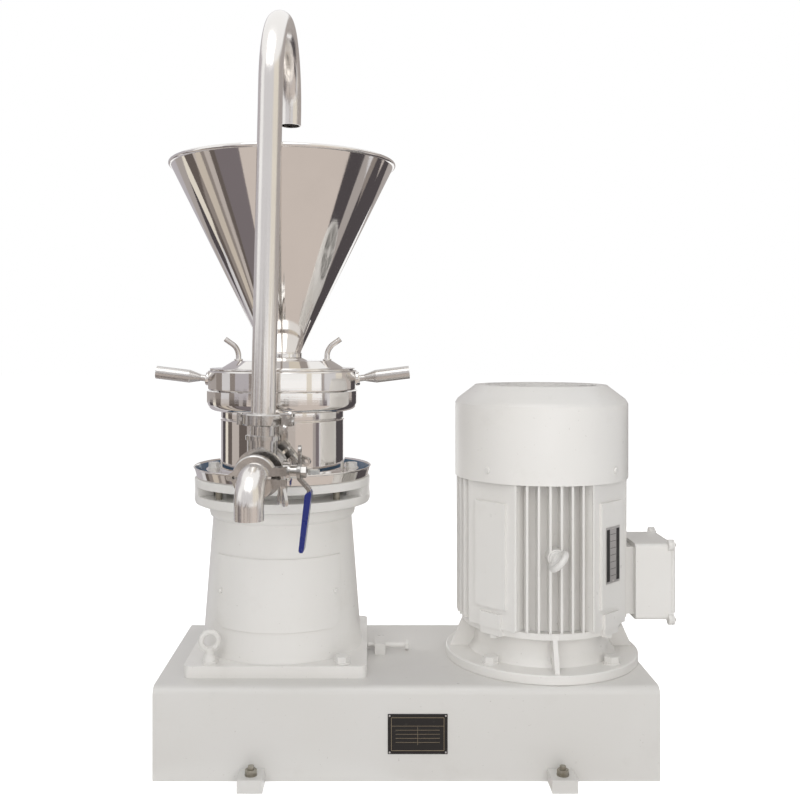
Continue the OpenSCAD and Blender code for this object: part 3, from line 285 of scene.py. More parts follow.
def enamel(name, colour, swell):
    """Gloss enamel with orange peel, a little grime and the swell of what is under it."""
    f = Finish(name)
    cloud = f.span(f.noise(5, 2), 0.35, 0.65)
    grime = f.span(f.noise(14, 6, rough=0.65), 0.58, 0.76)
    specks = f.span(f.noise(210, 2), 0.735, 0.76)
    peel = f.noise(330, 2)
    rolling = f.noise(26, 2)
    warmer = (colour[0] * 0.965, colour[1] * 0.96, colour[2] * 0.945)
    tone = f.blend(cloud * 0.5, colour, warmer)
    tone = f.blend(grime * 0.10, tone, (0.42, 0.38, 0.32))
    tone = f.blend(specks * 0.30, tone, (0.30, 0.27, 0.23))
    return f.principled({
        "Base Color": tone,
        "Roughness": f.noise(40, 4) * 0.12 + grime * 0.10 + 0.24,
        "Normal": f.bump(peel * 0.10 + rolling * swell, 0.32, 0.0012),
        "Coat Weight": 0.08,
        "Coat Roughness": 0.10,
    })


def polished(name, colour, rough, grain, depth=0.05):
    """Polished stainless steel with faint lines from the polishing wheel."""
    f = Finish(name)
    lines = f.noise(1, 3, grain)
    smear = f.noise(9, 4)
    tone = f.blend(f.span(smear, 0.35, 0.7) * 0.5, colour, shade(colour, 0.93))
    return f.principled({
        "Base Color": tone,
        "Metallic": 1.0,
        "Roughness": (
            f.span(lines, 0.3, 0.75, rough * 0.7, rough * 1.5)
            + f.span(smear, 0.45, 0.75, 0, 0.035)),
        "Normal": f.bump(lines, depth, 0.0004),
    })


def cast_steel(name, colour, rough):
    """Investment cast or blasted steel, buffed bright on its high spots."""
    f = Finish(name)
    grain = f.noise(420, 3)
    wear = f.span(f.noise(60, 4), 0.4, 0.7)
    return f.principled({
        "Base Color": f.blend(wear, colour, shade(colour, 1.14)),
        "Metallic": 1.0,
        "Roughness": rough - wear * 0.10 + grain * 0.10,
        "Normal": f.bump(grain * 0.5 + f.noise(90, 2) * 0.5, 0.10, 0.0006),
    })


WAVE_SCALE = 0.31416


def threaded(name, colour, rough, pitch):
    """Plated steel with a thread on its round parts and mottled plating."""
    f = Finish(name)
    wave = f.node("ShaderNodeTexWave", "Fac", {"wave_type": "BANDS", "bands_direction": "Z"}, {
        "Vector": f.place(), "Scale": WAVE_SCALE / pitch, "Distortion": 0.0})
    cells = f.noise(120, 4)
    darker = (colour[0] * 0.72, colour[1] * 0.70, colour[2] * 0.64)
    tone = f.blend(f.span(cells, 0.35, 0.7), colour, darker)
    return f.principled({
        "Base Color": tone,
        "Metallic": 0.9,
        "Roughness": cells * 0.22 + rough,
        "Normal": f.bump(wave * 0.6 + cells * 0.2, 0.35, 0.0006),
    })


def moulded(name, colour, rough, scale, coat=0.0, depth=0.12):
    """Rubber, vinyl, silicone or plastic with a fine moulded grain and handling marks."""
    f = Finish(name)
    grain = f.noise(scale, 3)
    marks = f.span(f.noise(35, 5), 0.45, 0.75)
    return f.principled({
        "Base Color": f.blend(marks * 0.35, colour, tuple(channel * 1.15 + 0.004 for channel in colour)),
        "Roughness": marks * 0.14 + rough,
        "Normal": f.bump(grain, depth, 0.0005),
        "Coat Weight": coat,
        "Coat Roughness": 0.2,
    })


def film(name, colour):
    """Thin blue film with wrinkles and a few paler air pockets."""
    f = Finish(name)
    folds = f.noise(34, 4, (1, 1, 0.35))
    pockets = f.span(f.noise(22, 5), 0.52, 0.74)
    paler = (colour[0] * 2.2 + 0.02, colour[1] * 1.5 + 0.03, colour[2] * 1.15 + 0.03)
    return f.principled({
        "Base Color": f.blend(pockets * 0.6, colour, paler),
        "Roughness": pockets * 0.2 + 0.18,
        "Normal": f.bump(folds, 0.35, 0.001),
        "Coat Weight": 0.6,
        "Coat Roughness": 0.08,
    })


def anodised(name, colour, metal, rough):
    """Thin plate with a fine rolled grain, a few scratches and dust."""
    f = Finish(name)
    lines = f.noise(1, 3, (18, 18, 1600))
    scratch = f.span(f.noise(1, 2, (40, 40, 900), (0.5, 0.3, 0.2)), 0.70, 0.74)
    dust = f.span(f.noise(120, 4), 0.6, 0.8)
    tone = f.blend(scratch * 0.25, colour, (0.30, 0.28, 0.25))
    return f.principled({
        "Base Color": f.blend(dust * 0.12, tone, (0.30, 0.27, 0.23)),
        "Metallic": metal,
        "Roughness": lines * 0.12 + dust * 0.2 + rough,
        "Normal": f.bump(lines, 0.06, 0.0004),
    })


def machined(name, colour, rough):
    """Bare metal inside the machine, with oil stains."""
    f = Finish(name)
    stain = f.span(f.noise(30, 5), 0.4, 0.75)
    lines = f.noise(1, 2, (20, 20, 1200))
    return f.principled({
        "Base Color": f.blend(stain * 0.7, colour, shade(colour, 0.55)),
        "Metallic": 1.0,
        "Roughness": lines * 0.15 + stain * 0.12 + rough,
        "Normal": f.bump(lines, 0.08, 0.0005),
    })


FINISHES = {}


def make_finishes():
    """Makes every finish once, from the colours of the scene."""
    c = bpy.context.scene.mill_colours
    coat, bright, dull = tuple(c.enamel), tuple(c.stainless), tuple(c.satin)
    around, upright = (4, 4, 1100), (1100, 1100, 3)
    FINISHES.update({
        "cast enamel": enamel("Enamel on casting", coat, 0.55),
        # The plate enamel is the casting enamel darkened to 0.88: painted shade on the base, not a different paint.
        "plate enamel in painted shade": enamel("Enamel on plate, painted shade", shade(coat, 0.88), 0.22),
        "cowl enamel": enamel("Enamel on cowl", shade(coat, 1.02), 0.22),
        "bolt enamel": enamel("Enamel on bolts", shade(coat, 0.96), 0.35),
        "mirror": polished("Mirror stainless", bright, 0.045, around),
        "mirror pipe": polished("Polished pipe", bright, 0.20, upright, depth=0.10),
        "bright": polished("Bright stainless", shade(bright, 0.97), 0.10, around, depth=0.10),
        "brushed": polished("Brushed grip", shade(bright, 0.80), 0.28, (6, 900, 900), depth=0.35),
        "lever steel": cast_steel("Lever steel", shade(dull, 0.62), 0.22),
        "forged": cast_steel("Buffed forging", shade(dull, 0.84), 0.15),
        "zinc": threaded("Zinc plate", tuple(c.zinc), 0.28, 0.0015),
        "vinyl": moulded("Dipped vinyl", tuple(c.vinyl), 0.26, 260, 0.45),
        "film": film("Blue film", tuple(c.film)),
        "dark plate": anodised("Dark plate", tuple(c.plate), 0.15, 0.30),
        "ruled": anodised("Pale ruling", (0.36, 0.30, 0.21), 0.6, 0.35),
        "tag": anodised("Rolled aluminium", (0.62, 0.61, 0.60), 0.9, 0.30),
        "silicone": moulded("White silicone", (0.62, 0.60, 0.56), 0.42, 300),
        "rubber": moulded("Black rubber", (0.018, 0.018, 0.019), 0.52, 420),
        "plastic": moulded("Moulded plastic", (0.045, 0.045, 0.048), 0.38, 240),
        "iron": machined("Bare iron", (0.33, 0.32, 0.31), 0.34),
        "steel": machined("Ground steel", (0.55, 0.54, 0.53), 0.22),
        "copper": machined("Varnished copper", (0.48, 0.22, 0.10), 0.35),
    })


def turned(profile, place, steps, closed=True):
    """Spins (radius, height) pairs in millimetres round the upright axis of a place."""
    bm = bmesh.new()
    points = [bm.verts.new((r * MM, 0, z * MM)) for r, z in profile]
    for first, second in zip(points, points[1:] + (points[:1] if closed else [])):
        bm.edges.new((first, second))
    bmesh.ops.spin(
        bm, geom=bm.verts[:] + bm.edges[:], cent=(0, 0, 0), axis=(0, 0, 1),
        angle=math.tau, steps=steps, use_merge=True)
    bmesh.ops.remove_doubles(bm, verts=bm.verts, dist=1e-6)
    bmesh.ops.recalc_face_normals(bm, faces=bm.faces)
    return moved(bm, place)


def rounded(bm, width, segments=2, angle=25, low=None, high=None):
    """Bevels edges that turn by more than an angle, all of them or those between two heights in millimetres."""
    edges = []
    for edge in bm.edges:
        if len(edge.link_faces) != 2 or edge.calc_face_angle(0) < math.radians(angle):
            continue
        heights = [v.co.z / MM for v in edge.verts]
        if (low is None or min(heights) >= low) and (high is None or max(heights) <= high):
            edges.append(edge)
    bmesh.ops.bevel(
        bm, geom=edges, offset=width, offset_type="OFFSET", segments=segments, profile=0.5,
        affect="EDGES", clamp_overlap=True, material=-1)
    return bm


def piped(radius, wall, legs, place, sides=48):
    """A pipe from the origin along +Z, in millimetres.

    Its legs are ("run", length) or ("bend", radius, degrees), and a bend goes towards +X.
    """
    bm = bmesh.new()
    bmesh.ops.create_circle(bm, cap_ends=False, segments=sides, radius=radius * MM)
    end = bm.edges[:]
    at, way = Vector((0, 0, 0)), Vector((0, 0, 1))
    for leg in legs:
        if leg[0] == "run":
            made = bmesh.ops.extrude_edge_only(bm, edges=end)["geom"]
            step = way * leg[1] * MM
            corners = [g for g in made if isinstance(g, bmesh.types.BMVert)]
            bmesh.ops.translate(bm, verts=corners, vec=step)
            at = at + step
        else:
            side = Vector((way.z, 0, -way.x))
            centre = at + side * leg[1] * MM
            turn = Matrix.Rotation(math.radians(leg[2]), 3, "Y")
            made = bmesh.ops.spin(
                bm, geom=end, cent=centre, axis=(0, 1, 0), angle=math.radians(leg[2]),
                steps=max(6, int(leg[2] / 3)))["geom_last"]
            at = centre + turn @ (at - centre)
            way = turn @ way
        end = [g for g in made if isinstance(g, bmesh.types.BMEdge)]
    bmesh.ops.remove_doubles(bm, verts=bm.verts, dist=1e-6)
    bmesh.ops.recalc_face_normals(bm, faces=bm.faces)
    bmesh.ops.solidify(bm, geom=bm.faces[:], thickness=wall * MM)
    return moved(bm, place)


def moved(bm, place):
    """Moves a bmesh made at the origin to its place."""
    bmesh.ops.transform(bm, matrix=place, verts=bm.verts)
    return bm


def along(distance):
    """A shift along the axis of a place, in millimetres."""
    return Matrix.Translation((0, 0, distance * MM))


def block(size, place, edge, segments=2):
    """A box with softened edges, sizes in metres."""
    bm = bmesh.new()
    bmesh.ops.create_cube(bm, size=1, matrix=Matrix.Diagonal((*size, 1)))
    return moved(rounded(bm, edge, segments), place)


def softened(node, width, segments=2, angle=28):
    """A merged copy of a node's mesh with its sharp edges rounded."""
    bm = bmesh.new()
    bm.from_mesh(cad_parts[node].data)
    bmesh.ops.remove_doubles(bm, verts=bm.verts, dist=2e-5)
    bmesh.ops.dissolve_limit(bm, angle_limit=math.radians(1), verts=bm.verts, edges=bm.edges)
    return rounded(bm, width, segments, angle) if width > 0 else bm


def joined(*parts):
    """One bmesh out of several."""
    whole = parts[0]
    for part in parts[1:]:
        mesh = bpy.data.meshes.new("part")
        part.to_mesh(mesh)
        part.free()
        whole.from_mesh(mesh)
        bpy.data.meshes.remove(mesh)
    return whole


def put(bm, name, body, finish, stands_for=(), smooth=36):
    """Makes a piece of a bmesh, gives it its finish and body, and hides what it stands for."""
    mesh = bpy.data.meshes.new(name)
    bm.to_mesh(mesh)
    bm.free()
    spare = mesh.attributes.get("custom_normal")
    if spare:
        mesh.attributes.remove(spare)
    mesh.materials.clear()
    mesh.materials.append(FINISHES[finish])
    mesh.polygons.foreach_set("material_index", [0] * len(mesh.polygons))
    mesh.shade_smooth()
    mesh.set_sharp_from_angle(angle=math.radians(smooth))
    piece = bpy.data.objects.new(name, mesh)
    bpy.context.scene.collection.objects.link(piece)
    even = piece.modifiers.new("Even shading", "WEIGHTED_NORMAL")
    even.keep_sharp = True
    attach(piece, body)
    if stands_for:
        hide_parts(*stands_for)
    return piece


def dress(rows):
    """Puts softened copies: rows of node, piece name, body, slot, finish, edge and segments."""
    for node, name, body, slot, finish, edge, segments in rows:
        put(softened(node, edge, segments), name, body, finish, (node,))


def ferrule(place, length, sides):
    """Clamp ferrule with its face at the origin and its pipe end along -Z."""
    lip = 2.8 + (FERRULE_R - PIPE_R - 1.2) * math.tan(math.radians(20))
    bm = turned([
        (PIPE_IN, 0), (FERRULE_R, 0), (FERRULE_R, -2.8), (PIPE_R + 1.2, -lip),
        (PIPE_R, -lip - 1.5), (PIPE_R, -length), (PIPE_IN, -length)], Matrix(), sides)
    return moved(rounded(bm, 0.0006, 2), place)


def bead(radius, thick, place, steps):
    """Weld bead: a low ring round a pipe."""
    ring = [(radius + thick * 0.5 * math.cos(a), thick * math.sin(a))
            for a in (math.tau * k / 8 for k in range(8))]
    return turned(ring, place, steps)


class MILL_OT_base(bpy.types.Operator):
    """Make the base shell, its foot lugs and the screws on it"""
    bl_idname = "mill.base"
    bl_label = "Base"

    def execute(self, context):
        s = context.scene.mill_sizes
        seam = top_of("base_walls")
        deck = rounded(softened("base_deck", 0), s.plate_edge, 2, 28, low=seam + 1)
        walls = rounded(softened("base_walls", 0), s.plate_edge, 2, 28, high=seam - 10)
        # The base shell and foot lugs take the darkened plate enamel, which paints shade on them.
        put(joined(deck, walls), "base_shell", "frame", "plate enamel in painted shade",
            ("base_deck", "base_walls"))
        dress([
            ("base_lugs", "foot_lugs", "frame", "paint", "plate enamel in painted shade", s.plate_edge, 2),
            ("foot_bolts", "foot_bolt_set", "frame", "zinc", "zinc", s.bolt_edge, 2),
            ("tension_screw", "belt_screw", "tension_screw", "steel", "bolt enamel", s.bolt_edge, 2),
        ])
        return {"FINISHED"}


class MILL_OT_pedestal(bpy.types.Operator):
    """Make the cast pedestal with its access cover, bolts and lifting eye"""
    bl_idname = "mill.pedestal"
    bl_label = "Pedestal"

    def execute(self, context):
        s = context.scene.mill_sizes
        dress([
            ("pedestal_plate", "pedestal_foot", "frame", "paint", "cast enamel", s.cast_edge, 3),
            ("pedestal", "pedestal_casting", "frame", "paint", "cast enamel", s.cast_edge, 3),
            ("pedestal_cover", "access_cover", "frame", "paint", "cast enamel", s.plate_edge, 2),
            ("pedestal_screws", "access_screws", "frame", "steel", "bolt enamel", s.bolt_edge, 2),
            ("pedestal_bolts", "stand_bolts", "frame", "steel", "bolt enamel", s.bolt_edge, 2),
            ("lifting_eye", "stand_eye_bolt", "frame", "steel", "bolt enamel", s.steel_edge, 2),
            ("bearing_housing", "bearing_flange", "frame", "paint", "cast enamel", s.cast_edge, 3),
            ("flange_studs", "flange_stud_set", "frame", "steel", "zinc", s.bolt_edge, 2),
        ])
        return {"FINISHED"}


class MILL_OT_tray(bpy.types.Operator):
    """Make the drip tray with its rolled rim and the film left in it"""
    bl_idname = "mill.tray"
    bl_label = "Drip tray"

    def execute(self, context):
        s = context.scene.mill_sizes
        z, r, t, bore, film_in = Z_TRAY, TRAY_R, 1.5, 60, 143
        tray = turned([
            (bore, z), (r - 5, z), (r, z + 16.5), (r + 1.6, z + 18), (r + 1.2, z + 19.5),
            (r - 0.8, z + 19.6), (r - t, z + 17.5), (r - 5 - t, z + t), (bore, z + t)], MILL, s.turn_steps)
        rounded(tray, 0.0007, 2, 20)
        put(tray, "tray_pan", "frame", "mirror", ("drip_tray",))
        f = t + 0.12
        sheet = turned([
            (film_in, z + f), (r - 5 - f, z + f), (r - f - 0.4, z + 16.2), (r - f - 0.7, z + 16.2),
            (r - 5.3 - f, z + f + 0.25), (film_in, z + f + 0.25)], MILL, s.turn_steps)
        put(sheet, "tray_film", "frame", "film")
        return {"FINISHED"}


class MILL_OT_head(bpy.types.Operator):
    """Make the grinding housing, its collar, the adjusting ring and the feed cover"""
    bl_idname = "mill.head"
    bl_label = "Mill head"

    def execute(self, context):
        s = context.scene.mill_sizes
        n, z, r = s.turn_steps, Z_HOUSE, HOUSE_R
        shell = turned([
            (32, z), (r + 26, z), (r + 26, z + 12), (r + 2.5, z + 12), (r, z + 14.5), (r, Z_COLLAR - 17),
            (r - 1.6, Z_COLLAR - 16), (r - 1.6, Z_COLLAR - 14), (r, Z_COLLAR - 13), (r, Z_COLLAR),
            (r - 16, Z_COLLAR), (r - 16, z + 14), (32, z + 14)], MILL, n)
        rounded(shell, 0.0008, 2)
        stub = OUTLET @ Matrix.Translation((HOUSE_FACE * MM, 0, 0)) @ Matrix.Rotation(math.pi / 2, 4, "Y")
        neck = turned([
            (PIPE_R + 5.5, -77.5), (PIPE_R + 1.5, -64), (PIPE_R, -60), (PIPE_R, -15), (PIPE_IN, -15),
            (PIPE_IN, -77.5)], stub, PIPE_SIDES)
        weld = bead(PIPE_R, 0.7, stub @ along(-20), PIPE_SIDES)
        put(joined(shell, neck, ferrule(stub, 20, PIPE_SIDES), weld), "grinding_housing", "frame",
            "mirror", ("mill_housing",))
        collar = turned([
            (99.1, Z_COLLAR), (COLLAR_R, Z_COLLAR), (COLLAR_R, Z_COLLAR + 36), (119, Z_COLLAR + 36),
            (119, Z_COLLAR + 62.5), (99.1, Z_COLLAR + 62.5)], MILL, n)
        lower = [e for e in collar.edges if all(
            abs(v.co.z / MM - Z_COLLAR) < 0.01
            and abs((v.co - MILL.translation).xy.length / MM - COLLAR_R) < 0.5
            for v in e.verts)]
        bmesh.ops.bevel(
            collar, geom=lower, offset=0.015, offset_type="OFFSET", segments=8, profile=0.5,
            affect="EDGES", clamp_overlap=False, material=-1)
        put(collar, "thread_collar", "frame", "mirror", ("threaded_collar",), 30)
        ring = turned([
            (119.3, Z_RING), (RING_R, Z_RING), (RING_R, Z_RING_TOP), (127.3, Z_RING_TOP),
            (127.3, Z_RING_TOP - 8), (119.3, Z_RING_TOP - 8)], MILL, n)
        rounded(ring, 0.0028, 3)
        bosses = []
        for side in (0, 180):
            profile = [(6.05, 0), (13, 0), (13, 13), (11.5, 15), (6.05, 15)]
            bosses.append(turned(profile, handle_place(side), 48))
        put(joined(ring, *bosses), "hand_ring", "adjusting_ring", "mirror", ("adjusting_ring",))
        z = Z_RING_TOP
        retainer = turned([(113, z), (135, z), (135, z + 4), (113, z + 4)], MILL, n)
        put(rounded(retainer, 0.0009, 2), "ring_keeper", "adjusting_ring", "bright", ("ring_retainer",))
        cover = turned([
            (72, Z_HOUSE + 98), (99, Z_HOUSE + 98), (99, z - 7.9), (127, z - 7.9), (127, z - 0.1),
            (112.7, z - 0.1), (112.7, z + 5), (91.5, z + 18), (46, z + 18), (36, Z_HUB), (28, Z_HUB),
            (28, z + 6), (72, z - 12)], MILL, n)
        put(rounded(cover, 0.0012, 3, 20), "feed_dome", "stator_head", "mirror", ("feed_cover",))
        dress([("housing_bolts", "housing_bolt_set", "frame", "steel", "bolt enamel", s.bolt_edge, 2)])
        return {"FINISHED"}


def handle_place(side):
    """Axis of one ring handle, from inside the ring outwards."""
    return (
        MILL
        @ Matrix.Rotation(math.radians(side), 4, "Z")
        @ Matrix.Translation(((RING_R - 10) * MM, 0, (Z_RING + 18.72) * MM))
        @ Matrix.Rotation(math.radians(83), 4, "Y")
    )


class MILL_OT_handles(bpy.types.Operator):
    """Make the two handles of the adjusting ring"""
    bl_idname = "mill.handles"
    bl_label = "Ring handles"

    def execute(self, context):
        reach = 108 / math.cos(math.radians(7))
        parts = []
        for side in (0, 180):
            grip = turned([
                (0, 0), (6, 0), (6, 25), (6.6, 25.5), (12, 46), (12, reach), (0, reach)], Matrix(), 64)
            parts.append(moved(rounded(grip, 0.0016, 3, 12), handle_place(side)))
        put(joined(*parts), "ring_handles", "adjusting_ring", "brushed", ("adjusting_handles",))
        return {"FINISHED"}


class MILL_OT_hopper(bpy.types.Operator):
    """Make the hopper, its union and the two cooling nipples on the cover"""
    bl_idname = "mill.hopper"
    bl_label = "Hopper"

    def execute(self, context):
        s = context.scene.mill_sizes
        r, z = HOPPER_R, Z_RIM
        roll = [(r + 1 + 4 * math.cos(a), z - 1 + 4 * math.sin(a))
                for a in (math.radians(d) for d in range(-105, 190, 15))]
        cone = turned([
            (29, Z_HUB + 0.1), (31, Z_HUB + 0.1), (31, Z_CONE), (34, Z_CONE), *roll,
            (r - 3.2, z - 4), (29, Z_CONE - 1)], MILL, s.turn_steps + 32)
        weld = bead(34.2, 1.1, MILL @ along(Z_CONE + 0.9), s.turn_steps)
        put(joined(cone, weld), "hopper_cone", "stator_head", "mirror", ("hopper",), 30)
        union = turned([
            (31.1, Z_HUB), (36, Z_HUB), (36, Z_CONE), (31.1, Z_CONE)], MILL, s.turn_steps)
        put(rounded(union, 0.0012, 3), "hopper_collar", "stator_head", "bright", ("hopper_union",))
        parts = []
        for side in (0, 180):
            foot = Matrix.Translation((NIPPLE_X * MM, 0, (Z_RING_TOP + 18) * MM))
            place = MILL @ Matrix.Rotation(math.radians(side), 4, "Z") @ foot
            parts.append(piped(5, 1.5, [("run", 8), ("bend", 28, 55), ("run", 16)], place, 32))
            boss = rounded(turned([(4.8, 0), (8, 0), (8, 3), (4.8, 3)], Matrix(), 40), 0.0007, 2)
            parts.append(moved(boss, place))
        put(joined(*parts), "water_nipples", "stator_head", "bright", ("cooling_nipples",), 45)
        return {"FINISHED"}


class MILL_OT_product_line(bpy.types.Operator):
    """Make the return pipe over the hopper and the discharge elbow"""
    bl_idname = "mill.product_line"
    bl_label = "Product line"

    def execute(self, context):
        low = RISER + 1
        flip = Matrix.Rotation(math.pi, 4, "Z")
        foot = LINE @ Matrix.Translation((VALVE_X * MM, 0, low * MM))
        legs = [("run", HOOK_RISE - low - 4), ("bend", HOOK_R, 180), ("run", 15)]
        pipe = piped(PIPE_R, PIPE_R - PIPE_IN, legs, foot @ along(4) @ flip, PIPE_SIDES)
        end = ferrule(foot @ Matrix.Rotation(math.pi, 4, "X"), 8, PIPE_SIDES)
        put(joined(pipe, end, bead(PIPE_R, 0.6, foot @ along(8), PIPE_SIDES)), "return_pipe", "frame",
            "mirror pipe", ("circulation_pipe",), 45)
        face = OUTLET @ Matrix.Translation(((SPOUT_X + 1) * MM, 0, 0))
        axis = face @ Matrix.Rotation(math.pi / 2, 4, "Y")
        legs = [("bend", 38, 90), ("run", 19)]
        elbow = piped(SPOUT_R, PIPE_R - PIPE_IN, legs, axis @ along(14), PIPE_SIDES)
        cone = turned([
            (PIPE_R, 7), (PIPE_R, 10), (SPOUT_R, 14.2), (SPOUT_R - 2, 14.2), (PIPE_IN, 10), (PIPE_IN, 7)],
            axis, PIPE_SIDES)
        end = ferrule(face @ Matrix.Rotation(-math.pi / 2, 4, "Y"), 8, PIPE_SIDES)
        put(joined(elbow, cone, end, bead(PIPE_R, 0.6, axis @ along(8), PIPE_SIDES)), "discharge_bend", "frame",
            "mirror pipe", ("discharge_elbow",), 45)
        return {"FINISHED"}


class MILL_OT_valve(bpy.types.Operator):
    """Make the three way valve and its lever"""
    bl_idname = "mill.valve"
    bl_label = "Valve"

    def execute(self, context):
        s = context.scene.mill_sizes
        dress([
            ("valve_body", "valve_casing", "frame", "satin", "forged", s.steel_edge, 2),
            ("valve_stem", "valve_spindle", "valve_lever", "steel", "steel", s.bolt_edge, 1),
            ("valve_lever", "lever_plate", "valve_lever", "satin", "lever steel", s.steel_edge, 2),
            ("lever_grip", "lever_sleeve", "valve_lever", "grip", "vinyl", 0.0040, 5),
            ("lever_nut", "lever_hexagon", "valve_lever", "steel", "lever steel", s.bolt_edge, 2),
        ])
        return {"FINISHED"}


class MILL_OT_clamps(bpy.types.Operator):
    """Make the three pipe clamps and their wing nuts"""
    bl_idname = "mill.clamps"
    bl_label = "Pipe clamps"

    def execute(self, context):
        s = context.scene.mill_sizes
        dress([
            ("clamps", "pipe_clamps", "frame", "satin", "forged", s.steel_edge, 2),
            ("outlet_wing_nut", "outlet_wings", "outlet_wing_nut", "satin", "forged", s.steel_edge, 2),
            ("discharge_wing_nut", "discharge_wings", "discharge_wing_nut", "satin", "forged", s.steel_edge, 2),
            ("riser_wing_nut", "riser_wings", "riser_wing_nut", "satin", "forged", s.steel_edge, 2),
        ])
        return {"FINISHED"}


class MILL_OT_motor(bpy.types.Operator):
    """Make the upright motor with its fins, fan cover and terminal box"""
    bl_idname = "mill.motor"
    bl_label = "Motor"

    def execute(self, context):
        s = context.scene.mill_sizes
        dress([
            ("motor_frame", "finned_frame", "frame", "paint", "cast enamel", s.plate_edge, 2),
            ("motor_shield", "flange_shield", "frame", "paint", "cast enamel", s.cast_edge, 3),
            ("upper_shield", "rear_shield", "frame", "paint", "cast enamel", s.plate_edge, 2),
            ("fan_cover", "fan_cowl", "frame", "paint", "cowl enamel", 0.0005, 2),
            ("fan_grille", "cowl_grille", "frame", "paint", "cowl enamel", 0.0005, 2),
            ("fan_cover_screws", "cowl_screws", "frame", "steel", "bolt enamel", s.bolt_edge, 2),
            ("motor_eye", "frame_eye_bolt", "frame", "steel", "bolt enamel", s.steel_edge, 2),
            ("terminal_box", "wiring_box", "frame", "paint", "cast enamel", s.plate_edge, 2),
            ("terminal_lid", "wiring_lid", "frame", "paint", "cast enamel", 0.0016, 3),
            ("shield_bolts", "shield_bolt_set", "frame", "steel", "bolt enamel", s.bolt_edge, 2),
            ("flange_bolts", "flange_bolt_set", "frame", "steel", "bolt enamel", s.bolt_edge, 2),
            ("cable_gland", "gland_nut", "frame", "plastic", "plastic", s.bolt_edge, 2),
        ])
        low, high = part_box("terminal_lid")
        screws, inset = [], 0.0095
        for y in (low.y + inset, high.y - inset):
            for z in (low.z + inset, high.z - inset):
                place = Matrix.Translation((low.x + 0.004, y, z)) @ Matrix.Rotation(math.pi / 2, 4, "Y")
                head = turned([(0, 0), (4.2, 0), (4.2, 1.6), (3.2, 2.8), (0, 3)], Matrix(), 24)
                screws.append(moved(rounded(head, 0.0004, 2), place))
        put(joined(*screws), "lid_screws", "frame", "zinc")
        return {"FINISHED"}


class MILL_OT_plates(bpy.types.Operator):
    """Make the bare plate on the base and the bare tag on the motor, with their rivets"""
    bl_idname = "mill.plates"
    bl_label = "Bare plates"

    def execute(self, context):
        s = context.scene.mill_sizes
        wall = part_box("base_walls")[0].y
        w, h = s.plate_width, s.plate_height
        at = Matrix.Translation((0.019, wall - 0.0006, 0.080)) @ Matrix.Rotation(math.pi / 2, 4, "X")
        put(block((w, h, 0.0014), at, 0.0004), "base_plate", "frame", "dark plate")
        margin, heading, pitch, broad, fine = 0.006, h / 2 - 0.020, 0.0068, 0.0007, 0.0005
        rules = (
            (0, h / 2 - margin, w - 2 * margin, broad), (0, margin - h / 2, w - 2 * margin, broad),
            (margin - w / 2, 0, broad, h - 2 * margin), (w / 2 - margin, 0, broad, h - 2 * margin),
            (0, heading, w - 2 * margin, fine),
            *((0, heading - pitch * k, w - 0.026, fine) for k in range(1, 5)), (0, -0.003, fine, 0.030))
        lines = [strip(at, x, y, 0.0008, dx, dy) for x, y, dx, dy in rules]
        put(joined(*lines), "base_plate_ruling", "frame", "ruled")
        corner = (w / 2 - 0.003, h / 2 - 0.003)
        rivets = [dome(at @ Matrix.Translation((x * corner[0], y * corner[1], 0.0007)), 1.6)
                  for x in (-1, 1) for y in (-1, 1)]
        w, h = s.tag_width, s.tag_height
        face = (
            MOTOR
            @ Matrix.Translation((0, 0, 0.364))
            @ Matrix.Rotation(math.radians(-45), 4, "Z")
            @ Matrix.Translation((0.1526, 0, 0))
            @ Matrix.Rotation(math.pi / 2, 4, "Z")
            @ Matrix.Rotation(math.pi / 2, 4, "X")
        )
        put(block((w, h, 0.0010), face, 0.0003), "motor_tag", "frame", "tag")
        bands = [strip(face, x, 0, 0.0006, 0.0095, h * 0.92) for x in (-0.0155, 0.0155)]
        bands += [strip(face, 0, y * 0.012, 0.0006, 0.018, 0.0006) for y in range(-3, 4)]
        put(joined(*bands), "motor_tag_bands", "frame", "dark plate")
        rivets += [dome(face @ Matrix.Translation((0, y * (h / 2 - 0.004), 0.0005)), 1.5) for y in (-1, 1)]
        put(joined(*rivets), "plate_rivets", "frame", "tag")
        return {"FINISHED"}


def strip(place, x, y, rise, width, height):
    """Thin raised line on a plate."""
    return block((width, height, 0.0003), place @ Matrix.Translation((x, y, rise)), 0.00004, 1)


def dome(place, radius):
    """Rivet head, radius in millimetres."""
    return turned([(0, 0), (radius, 0), (radius * 0.92, 0.5), (radius * 0.6, 1.0), (0, 1.2)], place, 20)


class MILL_OT_insides(bpy.types.Operator):
    """Give the parts that stay as solids their finishes"""
    bl_idname = "mill.insides"
    bl_label = "Inside parts"

    def execute(self, context):
        finishes = {
            "spindle_bearings": "steel", "bearing_cap": "steel", "shaft_seals": "rubber", "stator": "bright",
            "spindle": "steel", "rotor": "bright", "rotor_nut": "bright", "mill_pulley": "iron",
            "motor_stator": "copper", "motor_bearings": "steel", "motor_rotor": "iron", "motor_fan": "plastic",
            "motor_pulley": "iron", "v_belts": "rubber", "valve_ball": "mirror", "clamp_gaskets": "silicone",
        }
        for node, finish in finishes.items():
            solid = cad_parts[node]
            solid.data.materials.clear()
            solid.data.materials.append(FINISHES[finish])
        return {"FINISHED"}


def seen(f):
    """1 for camera, glossy and transmission rays, 0 for the rest."""
    total = None
    for ray in ("Is Camera Ray", "Is Glossy Ray", "Is Transmission Ray"):
        part = f.node("ShaderNodeLightPath", ray, {}, {})
        total = part if total is None else total + part
    return f.span(total, 0, 1)


def lamp(name, place, target, size, power, colour):
    """Soft area lamp aimed at a point."""
    light = bpy.data.lights.new(name, "AREA")
    light.shape = "RECTANGLE"
    light.size, light.size_y = size
    light.energy = power
    light.color = colour
    made = bpy.data.objects.new(name, light)
    made.location = place
    made.rotation_euler = (Vector(target) - Vector(place)).to_track_quat("-Z", "Y").to_euler()
    bpy.context.scene.collection.objects.link(made)
    return made


